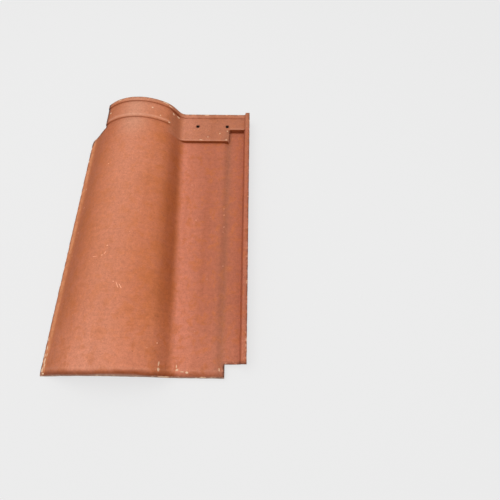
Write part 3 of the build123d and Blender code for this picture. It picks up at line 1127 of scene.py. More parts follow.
    def _steps(self) -> dict[str, Array]:
        """Painted shade at the foot of each step of the head, and behind it a pale ridge of wear and
        painted highlight.

        Returns:
            Numbers of the top face by name.
        """
        form, x, y = self.form, self.x, self.y
        on_collar = rises(x, *self.collar_start) * falls(x - self.side_x, *self.collar_end)
        on_pad = rises(self.off_foot, *self.pad_start) * (x < form.pad_right - 1.0)
        on_plug = 1.0 * (x > form.pad_right) * (x < form.rim_inner)
        lip_dark = 0.60 - 0.45 * rises(x, *self.lip_fade)
        steps = (
            (form.collar_length, form.collar_round, 0.55 * on_collar, 0.85 * on_collar, 5.2, 1.6),
            (form.lip_length, form.step_round, lip_dark, 0.0 * x, 2.0, 1.0),
            (form.pad_length, form.pad_round, on_pad, 0.7 * on_pad, 2.2, 0.9),
            (form.plug_length, form.pad_round, 0.9 * on_plug, 0.7 * on_plug, 2.2, 0.9),
        )
        ridge, groove = np.zeros_like(x), np.zeros_like(x)
        # Ridge: wear and a painted highlight on the step's rounded edge. Groove: painted shade at its
        # foot, with a softer painted shadow toward the tail.
        for from_head, width, dark, light, behind, spread in steps:
            start = form.length - from_head
            ridge = np.maximum(ridge, light * bell(y, start + behind, spread))
            foot = start + 0.5 * width
            line = lopsided(y, foot, *self.groove_spread)
            fade = 0.30 * np.exp(-np.maximum(foot - y, 0.0) / self.groove_reach) * (y < foot)
            groove = np.maximum(groove, dark * np.maximum(line, fade))
        return {"ridge": ridge, "groove": groove}

    def _tail(self) -> dict[str, Array]:
        """Painted shade on the nose, a painted highlight along the line behind it, and the greyish
        foot before it.

        Returns:
            Numbers of the top face by name.
        """
        x, y = self.x, self.y
        start, run = self.nose_ramp
        delay = self.nose_delay * rises(x, *self.delay_start) * falls(x, *self.delay_end)
        # The nose is painted shade, weaker on the pan.
        nose = falls(y, start + delay, run) * (1.0 - 0.45 * rises(self.off_foot, -6.0, 10.0))
        extra = rises(x, *self.extra_start) * falls(x, *self.extra_end)
        start, run = self.foot_ramp
        later, longer = self.foot_extra
        behind, spread = self.nose_line
        # The ridge here is a painted highlight along the top of the nose.
        return {"nose": nose, "foot": falls(y, start + later * extra, run + longer * extra),
                "ridge": 0.25 * bell(y, self.form.nose_length + behind, spread)}

    def _bores(self) -> tuple[Array, Array]:
        """Painted shade in the nail holes.

        Returns:
            Numbers that fade outwards from each hole, and those of the pale ring around it.
        """
        grid = self.grid
        away = np.minimum.reduce([np.hypot(self.x - x, self.y - y) for x, y in grid.holes])
        away = away - grid.hole_radius
        return np.exp(-np.maximum(away, 0.0) / self.bore_reach), 0.8 * bell(away, *self.halo_spot)

    def _relief(self) -> dict[str, Array]:
        """Painted shade at the nib, the plateau's front and the tail foot, and a painted highlight on
        the plateau's back.

        Returns:
            Numbers of the underside by name.
        """
        form, x, y = self.form, self.x, self.y
        inwards, run = self.nib_edge
        on_nib = rises(x, form.nib[0] + inwards, run) * ease((form.nib[1] - inwards - x) / run)
        before, reach = self.nib_shade
        off_nib = form.nib_start + before - y
        on_foot = (x > form.tail_foot[0]) & (x < form.tail_foot[1])
        heel = form.tail_foot_length + form.tail_foot_run
        shade = np.maximum.reduce([
            on_nib * np.exp(-np.abs(off_nib) / reach) * (off_nib >= 0.0),
            0.8 * self.on_plateau * bell(y - form.plateau[0], *self.front_spot),
            0.45 * on_foot * bell(y, heel, self.heel_spread)])
        near_tail = falls(y, *self.pink_ramp) * (x > self.pink_from)
        # A painted highlight on the ramp at the plateau's back.
        back = bell(y - form.plateau[1], *self.back_spot)
        return {"groove": shade, "ridge": 0.8 * self.on_plateau * back,
                "pan_near": np.maximum(0.55 * self.on_plateau, 0.6 * near_tail)}

    def _hollows(self) -> dict[str, Array]:
        """Painted shade in the hollow of the roll, the strips beside the ribs and the outer edge's
        underside, and dirt on the outer edge.

        Returns:
            Numbers of the underside by name.
        """
        form, x, y = self.form, self.x, self.y
        before_nib = y < form.nib_start
        beside = np.maximum.reduce([
            bell(x - form.rib_right, *self.beside_right) * before_nib,
            bell(x - self.rib_x, *self.beside_left), 1.1 * rises(x, *self.strip_ramp)])
        # Painted shade: darker at the roll's wall, under the outer edge and beside the ribs.
        hollow = np.maximum.reduce([
            0.80 * lopsided(self.off_foot, -self.wall_back, *self.wall_spread),
            0.80 * bell(x, *self.outer_spot) * rises(x, *self.outer_ramp), 0.60 * beside,
            0.06 + 0.24 * ease(y / self.inner_run) + 0.08 * (self.off_foot > 0.0)])
        # Deeper painted shade under the roll's crease and inside the outer edge.
        deep = np.maximum(2.0 * lopsided(self.off_foot, -self.deep_back, *self.deep_spread),
                          1.6 * bell(x, *self.deep_spot) * rises(x, *self.deep_ramp))
        return {"hollow": hollow, "grime": falls(x, *self.grime_ramp),
                "crease": deep * (0.5 + 0.5 * ease(y / self.deep_run)) * before_nib}

    def _soot(self) -> tuple[Array, Array]:
        """Dark line along the outer edges: most at the notch, the head and the tail's corner.

        Returns:
            Numbers of the top face and of the underside.
        """
        x, y = self.x, self.y
        notch_x = self.form.head_notch[0]
        corner = rises(x, *self.soot_corner_across) * falls(y, *self.soot_corner_along)
        share = np.maximum.reduce([
            0.30 * rises(y, *self.soot_edge) + 0.3 * (x < 3.0),
            (x < notch_x + 6.0) * rises(y, *self.soot_notch),
            0.40 * rises(y, *self.soot_head), 0.9 * corner,
            (x < 4.0) * falls(y, *self.soot_tail)])
        outer = np.where((x < 6.0) | (y < 2.0), 1.0, 0.6)
        spread, more = self.soot_spread
        line = bell(self.inset, 0.0, spread + more * (x < notch_x + 8.0) * rises(y, *self.soot_deep))
        return line * share, bell(self.inset, 0.0, self.soot_below) * np.maximum(outer, share)


@dataclass
class TileBody:
    """The clay body: top face, underside and the walls of every edge, as one closed surface."""

    form: TileForm
    grid: TileGrid
    name: str = "tile_body"
    most_round: float = 0.4
    unevenness: float = 0.16
    most_sag: float = 0.3
    sag_below: float = 0.3
    broad_waves: tuple[float, int] = (70.0, 5)
    ragged: float = 0.5
    ragged_reach: float = 2.5
    ragged_right: float = 0.6
    ragged_ends: float = 0.5
    ragged_waves: tuple[float, int] = (14.0, 8)
    wall_belt: float = 1.3
    most_belt: float = 0.3
    sharp_angle: float = 42.0
    wall_shares: dict[str, float] = field(
        default_factory=lambda: {"worn": 0.25, "fringe": 0.25, "soot": 0.5, "bore": 1.4})

    def place(self, x: Array, y: Array, z: Array) -> Array:
        """Points of the row frame.

        Args:
            x: Distances from the left edge.
            y: Distances from the tail.
            z: Heights.

        Returns:
            Points, one row each, in millimetres.
        """
        across = x - self.form.width / 2
        along = y - self.form.length / 2
        return np.stack([across.ravel(), along.ravel(), z.ravel()], axis=1)

    def heights(self, x: Array, y: Array) -> tuple[Array, Array]:
        """Heights of both faces, with rounded outer edges and slight unevenness.

        Args:
            x: Distances from the left edge.
            y: Distances from the tail.

        Returns:
            Heights of the top face and of the underside.
        """
        top, under = self.form.top(x, y), self.form.under(x, y)
        radius = self.form.edge_round
        inset = self.form.inset(x, y)
        for hole_x, hole_y in self.grid.holes:
            away = np.hypot(x - hole_x, y - hole_y) - self.grid.hole_radius
            inset = np.minimum(inset, np.maximum(away, 0.0))
        drop = radius * (1.0 - quarter(inset / radius))
        drop = np.minimum(drop, self.most_round * (top - under))
        sag = self.unevenness * (1.0 + 0.5 * waves(x, y, *self.broad_waves))
        sag = np.clip(sag, 0.0, self.most_sag) * (1.0 - drop / radius)
        return top - drop - sag, under + drop + self.sag_below * sag

    def _cells(self, clay: Array) -> Array:
        """Quads of both faces and of the walls between them.

        Args:
            clay: One flag a cell of the grid.

        Returns:
            Corner numbers, four a face. The grid's points come four times over, for the top
            face, the underside and the belts of the walls just below and just above them.
        """
        rows, columns = clay.shape
        number = np.arange((rows + 1) * (columns + 1)).reshape(rows + 1, columns + 1)
        south_west, south_east = number[:-1, :-1], number[:-1, 1:]
        north_west, north_east = number[1:, :-1], number[1:, 1:]
        count = number.size
        upper = np.stack([south_west, south_east, north_east, north_west], axis=-1)[clay]
        faces = [upper, upper[:, ::-1] + count]
        padded = np.pad(clay, 1)
        sides = [
            (padded[:-2, 1:-1], south_west, south_east),
            (padded[1:-1, 2:], south_east, north_east),
            (padded[2:, 1:-1], north_east, north_west),
            (padded[1:-1, :-2], north_west, south_west),
        ]
        levels = [0, 2 * count, 3 * count, count]
        for neighbour, first, second in sides:
            open_side = clay & ~neighbour
            start, end = first[open_side], second[open_side]
            for high, low in zip(levels, levels[1:]):
                faces.append(np.stack([start + low, end + low, end + high, start + high], axis=1))
        return np.concatenate(faces)

    def _ragged(self, x: Array, y: Array) -> tuple[Array, Array]:
        """Wears the outer edges back unevenly, w * exp(-d / r) at a distance d from an edge.

        The right edge and both ends are worn less than the left edge.

        Args:
            x: Distances from the left edge.
            y: Distances from the tail.

        Returns:
            The same distances, moved inwards near the edges.
        """
        form, reach = self.form, self.ragged_reach
        wear = self.ragged * (0.5 + 0.5 * np.clip(waves(x, y, *self.ragged_waves) * 0.8, -1.0, 1.0))
        right = self.ragged_right * wear * np.exp((x - form.width) / reach)
        ends = np.exp(-y / reach) - np.exp((y - form.length) / reach)
        return x + wear * np.exp(-x / reach) - right, y + self.ragged_ends * wear * ends

    def build(self) -> bpy.types.Object:
        """Makes the mesh and stores what its material reads.

        Returns:
            The body's object.
        """
        x, y, clay = self.grid.plan()
        top, under = self.heights(x, y)
        belt = np.minimum(self.wall_belt, self.most_belt * (top - under))
        levels = (top, under, top - belt, under + belt)
        moved = self._ragged(x, y)
        points = np.concatenate([self.place(*moved, level) for level in levels])
        used, faces = np.unique(self._cells(clay), return_inverse=True)
        piece = add_mesh(self.name, points[used], faces.reshape(-1, 4), self.sharp_angle)
        numbers = Weathering(self.grid, x, y).table()
        for name, (above, below) in numbers.items():
            inner = self.wall_shares.get(name, 1.0)
            values = [above, below, inner * above, inner * below]
            set_attribute(piece, name, np.concatenate([value.ravel() for value in values])[used])
        return piece


@dataclass(frozen=True)
class Mark:
    """One crust or chip: where it lies on its face and how it looks.

    Its outline is |u|^blunt + |v|^blunt = 1: an ellipse at 2, nearly a rectangle at 5.
    """

    x: float
    y: float
    half_x: float
    half_y: float
    blunt: float = 2.2
    ring: float = 0.0
    chalk: float = 0.0
    lean: float = 0.0


@dataclass
class Marks:
    """Thin crusts and chips that lie on a face: low domes with an uneven outline.

    A mark is a disc in polar coordinates that is pulled to its outline and then pushed about by
    gentle waves. Its height over the face is thickness * (1 - r^5), less a dimple of
    d * exp(-(r / s)^2) in the middle of a ring.
    """

    body: TileBody
    name: str
    face: Face
    marks: Sequence[Mark]
    thickness: float = 0.32
    ragged: float = 0.45
    ragged_size: float = 5.0
    spokes: int = 28
    rings: int = 6
    seed: int = 3
    margin: float = 0.1
    dimple: tuple[float, float] = (0.7, 0.5)
    core_spread: float = 0.42
    bumps: tuple[float, float] = (0.3, 2.6)
    clearance: float = 0.06
    tuck: float = 0.2
    least_height: float = 0.03

    def build(self) -> bpy.types.Object:
        """Lays every mark on its face.

        Returns:
            One object with all the marks.
        """
        table = np.array([astuple(mark) for mark in self.marks])
        middle_x, middle_y, half_x, half_y, blunt, ring, chalk, lean = table.T[:, :, None]
        level, turn = self._disc()
        cosine, sine = np.cos(turn), np.sin(turn)
        outline = level * (np.abs(cosine) ** blunt + np.abs(sine) ** blunt) ** (-1.0 / blunt)
        along = outline * sine * half_y
        x = middle_x + outline * cosine * half_x + lean * along
        y = middle_y + along
        rag = level * np.minimum(self.ragged, 0.25 * np.minimum(half_x, half_y))
        x = x + rag * waves(x, y, self.ragged_size, self.seed)
        y = y + rag * waves(x, y, self.ragged_size, self.seed + 1)
        x = np.clip(x, self.margin, self.body.form.width - self.margin)
        y = np.clip(y, self.margin, self.body.form.length - self.margin)
        z = self._heights(x, y, level, ring)
        faces = self._fan(len(self.marks))
        if self.face is Face.UNDERSIDE:
            faces = faces[:, ::-1]
        piece = add_mesh(self.name, self.body.place(x, y, z), faces)
        set_attribute(piece, "core", (ring * bell(level, 0.0, self.core_spread)).ravel())
        set_attribute(piece, "chalk", (chalk + 0.0 * x).ravel())
        set_attribute(piece, "rim", (level**4 * (1.0 - 0.8 * ring)).ravel())
        return piece

    def _disc(self) -> tuple[Array, Array]:
        """Points of one disc: its middle, then circle after circle outwards.

        Returns:
            Distances from the middle, 1 at the outline, and headings.
        """
        circles = np.linspace(0.0, 1.0, self.rings + 1)[1:]
        angle = np.linspace(0.0, 2.0 * np.pi, self.spokes, endpoint=False)
        level = np.concatenate([[0.0], np.repeat(circles, self.spokes)])
        return level, np.concatenate([[0.0], np.tile(angle, self.rings)])

    def _heights(self, x: Array, y: Array, level: Array, ring: Array) -> Array:
        """Heights of the marks, just clear of their face and tucked into it at the outline.

        Args:
            x: Distances from the left edge.
            y: Distances from the tail.
            level: Distances from the middle of a mark, 1 at its outline.
            ring: How deep the dimple in its middle is.

        Returns:
            Heights.
        """
        depth, spread = self.dimple
        rise = (1.0 - level**5) * (1.0 - depth * ring * bell(level, 0.0, spread))
        share, size = self.bumps
        uneven = 1.0 + share * waves(x, y, size, self.seed + 7)
        top, under = self.body.heights(x, y)
        base = top if self.face is Face.TOP else under
        lift = self.thickness * rise * uneven + self.clearance - self.tuck * (level > 0.99)
        return np.maximum(base + self.face.value * lift, self.least_height)

    def _fan(self, count: int) -> Array:
        """Faces of every disc: a fan of kites around the middle, then rings of quads.

        Args:
            count: Number of discs.

        Returns:
            Corner numbers, four a face.
        """
        turn = np.arange(self.spokes)
        ahead = (turn + 1) % self.spokes
        quads = []
        for ring in range(self.rings - 1):
            low, high = 1 + ring * self.spokes, 1 + (ring + 1) * self.spokes
            quads.append(np.stack([low + turn, high + turn, high + ahead, low + ahead], axis=1))
        even = turn[::2]
        kite = np.stack([0 * even, 1 + even, 1 + (even + 1) % self.spokes,
                         1 + (even + 2) % self.spokes], axis=1)
        one = np.concatenate([*quads, kite])
        size = 1 + self.rings * self.spokes
        return (one[None, :, :] + size * np.arange(count)[:, None, None]).reshape(-1, 4)


# Finishes

@dataclass(frozen=True)
class FiredClay:
    """Matt terracotta: mottled, grained, with painted shade in its hollows and painted highlights,
    paler along worn edges.
    """

    name: str = "fired_clay"
    mid: tuple[float, float, float] = (0.48, 0.146, 0.067)
    orange: tuple[float, float, float] = (0.44, 0.126, 0.040)
    pink: tuple[float, float, float] = (0.54, 0.184, 0.101)
    rose: tuple[float, float, float] = (0.57, 0.197, 0.126)
    brick: tuple[float, float, float] = (0.385, 0.115, 0.061)
    brown: tuple[float, float, float] = (0.27, 0.062, 0.015)
    umber: tuple[float, float, float] = (0.21, 0.043, 0.008)
    dark: tuple[float, float, float] = (0.085, 0.028, 0.016)
    # Colour of the dark line along the outer edges.
    soot: tuple[float, float, float] = (0.055, 0.028, 0.022)
    # Near black of the painted shade in the nail holes.
    pit: tuple[float, float, float] = (0.030, 0.014, 0.010)
    # Grey-brown of dirt, also laid on as painted shade in the channel.
    grime: tuple[float, float, float] = (0.17, 0.092, 0.052)
    pale: tuple[float, float, float] = (0.72, 0.36, 0.24)
    cream: tuple[float, float, float] = (0.70, 0.48, 0.33)
    grey: tuple[float, float, float] = (0.37, 0.23, 0.175)
    straw: tuple[float, float, float] = (0.62, 0.252, 0.120)
    dusty: tuple[float, float, float] = (0.53, 0.232, 0.142)
    # Pink of the painted highlight toward the tail.
    highlight_pink: tuple[float, float, float] = (0.61, 0.225, 0.135)

    def build(self) -> bpy.types.Material:
        """Makes the material.

        Returns:
            The material.
        """
        sheet = NodeSheet.material(self.name)
        grain = sheet.noise(620.0, 3.0, 0.7)
        fleck = sheet.noise(210.0, 4.0, 0.65)
        blotch = sheet.noise(75.0, 4.0, 0.6, distortion=0.6)
        drag = sheet.noise(420.0, 2.0, 0.5, stretch=(0.06, 1.0, 0.06))
        colour = self._shades(sheet, self._ground(sheet, blotch), blotch)
        colour = self._wear(sheet, colour, blotch)
        tone = grain * 0.62 + fleck * 0.56 + blotch * 0.22 + drag * 0.14 + 0.23
        colour = sheet.mix(1.0, colour, tone, "MULTIPLY")
        rough = grain * 0.18 + blotch * 0.10 + 0.58
        sand = sheet.noise(1900.0, 2.0, 0.6)
        pits = sheet.bump(sand, 0.00025, 0.5)
        relief = sheet.bump(grain, 0.0005, 0.5, normal=pits)
        relief = sheet.bump(fleck + drag * 0.4, 0.0007, 0.35, normal=relief)
        shader = sheet.node("ShaderNodeBsdfPrincipled", {}, Base_Color=colour, Roughness=rough,
                            Normal=relief, Specular_IOR_Level=0.14)
        return sheet.finish(shader)

    def _ground(self, sheet: NodeSheet, blotch: Signal) -> Signal:
        """Colour of the plain faces, mottled between terracotta, orange and pink, with painted
        highlights on the crown and toward the tail.

        Args:
            sheet: Sheet of the material.
            blotch: Noise of blotches about a centimetre wide.

        Returns:
            The colour.
        """
        read = sheet.attribute
        broad = sheet.noise(9.0, 3.0, 0.55)
        cloud = sheet.noise(26.0, 4.0, 0.6)
        streak = sheet.noise(46.0, 3.0, 0.6, stretch=(1.0, 0.05, 1.0))
        return sheet.coats(
            self.mid,
            (cloud.between(0.36, 0.66), self.orange),
            # Pink: a painted highlight along the crown, with broad patches of the clay's own tone.
            (read("crown") * 0.75 + broad.between(0.42, 0.72) * 0.25, self.pink),
            (read("pan_near"), self.rose),
            (read("pan_far"), self.brick),
            # Painted highlight toward the tail.
            (read("glow") * 0.60, self.highlight_pink),
            (blotch.between(0.47, 0.66) * 0.55, self.orange),
            (read("dust") * (blotch * 0.4 + 0.8), self.dusty),
            (streak.between(0.52, 0.76) * 0.16, self.brown),
        )

    def _shades(self, sheet: NodeSheet, colour: Signal, blotch: Signal) -> Signal:
        """Painted shade on the flanks, creases, hollows, nose and nail holes, and the channel darker
        with dirt and painted shade.

        Args:
            sheet: Sheet of the material.
            colour: Colour so far.
            blotch: Noise of blotches about a centimetre wide.

        Returns:
            The colour.
        """
        read = sheet.attribute
        uneven = blotch * 0.6 + 0.7
        return sheet.coats(
            colour,
            # Painted shade on the left side.
            (read("left") * 0.38 * uneven, self.brown),
            # Painted shade on the flank.
            (read("flank") * 0.33 * uneven, self.brown),
            # Painted shade in the creases of both faces.
            (read("crease") * 0.34 * uneven, self.umber),
            # Painted shade in the underside's hollows; on the top face, the pad darker toward the
            # right.
            (read("hollow") * uneven, self.brown),
            (read("band") * 0.55, self.orange),
            (read("brim") * (blotch.between(0.40, 0.60) * 0.55 + 0.40), self.straw),
            # The channel darker: dirt and painted shade.
            (read("channel") * 0.26, self.grime),
            # Painted shade on the tail's nose.
            (read("nose") * (blotch * 0.3 + 0.70), self.umber),
            # Painted shade: the nail holes nearly black.
            (read("bore"), self.pit),
        )

    def _wear(self, sheet: NodeSheet, colour: Signal, blotch: Signal) -> Signal:
        """Pale ridges of wear and painted highlight, painted shade in grooves, specks, and edges that
        are dirty, darkened and chipped.

        Args:
            sheet: Sheet of the material.
            colour: Colour so far.
            blotch: Noise of blotches about a centimetre wide.

        Returns:
            The colour.
        """
        read = sheet.attribute
        flake = sheet.noise(150.0, 4.0, 0.65)
        speck = sheet.noise(330.0, 2.0, 0.5)
        return sheet.coats(
            colour,
            # Ridges: wear and painted highlight. Grooves: painted shade.
            (read("ridge") * (flake * 0.7 + 0.15), self.pale),
            (read("groove"), self.umber),
            (read("fringe") * blotch.between(0.44, 0.64) * 0.40, self.umber),
            (read("worn") * flake.between(0.56, 0.44) * 0.45, self.dark),
            (read("grime") * (flake * 0.6 + 0.45), self.grime),
            # Dark line along the outer edges.
            (read("soot") * flake.between(0.66, 0.46), self.soot),
            (read("foot") * 0.85, self.grey),
            (speck.between(0.70, 0.78) * 0.45, self.dark),
            (speck.between(0.27, 0.20) * 0.35, self.cream),
            (read("worn") * flake.between(0.55, 0.66) * 0.7, self.cream),
        )


@dataclass(frozen=True)
class ChalkyCrust:
    """Rough pale crust that the kiln's setting leaves on the clay."""

    name: str
    cream: tuple[float, float, float] = (0.74, 0.64, 0.53)
    chalk: tuple[float, float, float] = (0.76, 0.78, 0.80)
    stained: tuple[float, float, float] = (0.50, 0.30, 0.19)
    core: tuple[float, float, float] = (0.33, 0.17, 0.09)

    def build(self) -> bpy.types.Material:
        """Makes the material.

        Returns:
            The material.
        """
        sheet = NodeSheet.material(self.name)
        patch = sheet.noise(260.0, 4.0, 0.65)
        grain = sheet.noise(1500.0, 3.0, 0.7)
        colour = sheet.coats(
            self.cream,
            (sheet.attribute("chalk"), self.chalk),
            (patch.between(0.50, 0.74) * 0.6, self.stained),
            (sheet.attribute("rim") * patch.between(0.36, 0.62) * 0.7, self.stained),
            (sheet.attribute("core") * 0.85, self.core),
            (grain.between(0.55, 0.75) * 0.25, self.stained),
        )
        relief = sheet.bump(grain + patch, 0.0005, 0.7)
        shader = sheet.node("ShaderNodeBsdfPrincipled", {}, Base_Color=colour,
                            Roughness=grain * 0.2 + 0.75, Normal=relief)
        return sheet.finish(shader)


# Surroundings

@dataclass(frozen=True)
class Lamp:
    """Square area lamp that faces the tile, in metres and watts."""

    name: str
    place: tuple[float, float, float]
    side: float
    power: float

    def build(self) -> None:
        """Hangs the lamp and turns it to the origin."""
        data = bpy.data.lights.new(self.name, "AREA")
        data.size = self.side
        data.energy = self.power
        lamp = bpy.data.objects.new(self.name, data)
        lamp.location = self.place
        lamp.rotation_euler = (-Vector(self.place)).to_track_quat("-Z", "Y").to_euler()
        bpy.context.scene.collection.objects.link(lamp)


@dataclass(frozen=True)
class Studio:
    """Pale floor, soft lamps and the camera."""

    backdrop: tuple[float, float, float] = (0.83, 0.83, 0.83)
    floor: tuple[float, float, float] = (0.745, 0.745, 0.745)
    floor_half: float = 40.0
    near_share: float = 0.8
    fade: tuple[float, float] = (0.45, 1.3)
    fill: float = 0.55
    lamps: tuple[Lamp, ...] = (
        Lamp("lamp_overhead", (-0.30, 0.15, 1.60), 1.4, 19.0),
        Lamp("lamp_side", (1.1, -0.35, 1.2), 1.0, 4.0),
    )
    sensor: float = 36.0
    frame_pixels: float = 500.0
    focal_pixels: float = 321.8
    centre_pixels: tuple[float, float] = (247.0, 264.5)
    camera_place: tuple[float, float, float] = (0.1357, -0.2257, 0.4443)
    pitch: float = 69.0
    yaw: float = -0.7
    nearest: float = 0.01

    def build(self) -> None:
        """Makes the floor, the world, the lamps and the camera."""
        self._floor()
        self._world()
        for lamp in self.lamps:
            lamp.build()
        self._camera()

    def _floor(self) -> None:
        """Level floor that shows the backdrop's colour and keeps a soft shadow."""
        half = self.floor_half / MM
        corners = half * np.array([[-1, -1, 0], [1, -1, 0], [1, 1, 0], [-1, 1, 0]])
        floor = add_mesh("floor", corners, np.array([[0, 1, 2, 3]]))
        sheet = NodeSheet.material("pale_floor")
        reach = sheet.node("ShaderNodeVectorMath", {"operation": "LENGTH"}, sheet.coordinates(),
                           out="Value")
        near, far = self.fade
        plain_share = self.near_share + (1.0 - self.near_share) * reach.between(near, far)
        shadowed = sheet.node("ShaderNodeBsdfDiffuse", {}, Color=(*self.floor, 1.0))
        plain = sheet.node("ShaderNodeEmission", {}, Color=(*self.backdrop, 1.0), Strength=1.0)
        share = self._seen(sheet) * plain_share
        floor.data.materials.append(sheet.finish(
            sheet.node("ShaderNodeMixShader", {}, share, shadowed, plain)))

    def _seen(self, sheet: NodeSheet) -> Signal:
        """1 for rays from the camera, straight or by way of gloss or glass, else 0.

        Args:
            sheet: Sheet that the nodes go to.

        Returns:
            The number.
        """
        rays = [sheet.node("ShaderNodeLightPath", {}, out=f"Is {kind} Ray")
                for kind in ("Camera", "Glossy", "Transmission")]
        return rays[0].at_least(rays[1]).at_least(rays[2])

    def _world(self) -> None:
        """Even light from all sides, and the backdrop's colour behind everything."""
        world = bpy.data.worlds.new("soft_world")
        bpy.context.scene.world = world
        sheet = NodeSheet(world)
        white = (1.0, 1.0, 1.0, 1.0)
        light = sheet.node("ShaderNodeBackground", {}, Color=white, Strength=self.fill)
        shown = sheet.node("ShaderNodeBackground", {}, Color=(*self.backdrop, 1.0), Strength=1.0)
        sheet.finish(sheet.node("ShaderNodeMixShader", {}, self._seen(sheet), light, shown))

    def _camera(self) -> None:
        """Camera from the fit to the photograph: a wide lens that looks down from the tail."""
        data = bpy.data.cameras.new("camera")
        data.sensor_width = self.sensor
        data.sensor_fit = "HORIZONTAL"
        data.lens = self.focal_pixels / self.frame_pixels * self.sensor
        data.shift_x = (self.frame_pixels / 2 - self.centre_pixels[0]) / self.frame_pixels
        data.shift_y = (self.centre_pixels[1] - self.frame_pixels / 2) / self.frame_pixels
        data.clip_start = self.nearest
        camera = bpy.data.objects.new("camera", data)
        turn = Matrix.Rotation(math.radians(-self.yaw), 4, "Z")
        tilt = Matrix.Rotation(math.radians(90.0 - self.pitch), 4, "X")
        camera.matrix_world = Matrix.Translation(self.camera_place) @ turn @ tilt
        bpy.context.scene.collection.objects.link(camera)
        bpy.context.scene.camera = camera
        bpy.context.scene.view_settings.view_transform = "Standard"


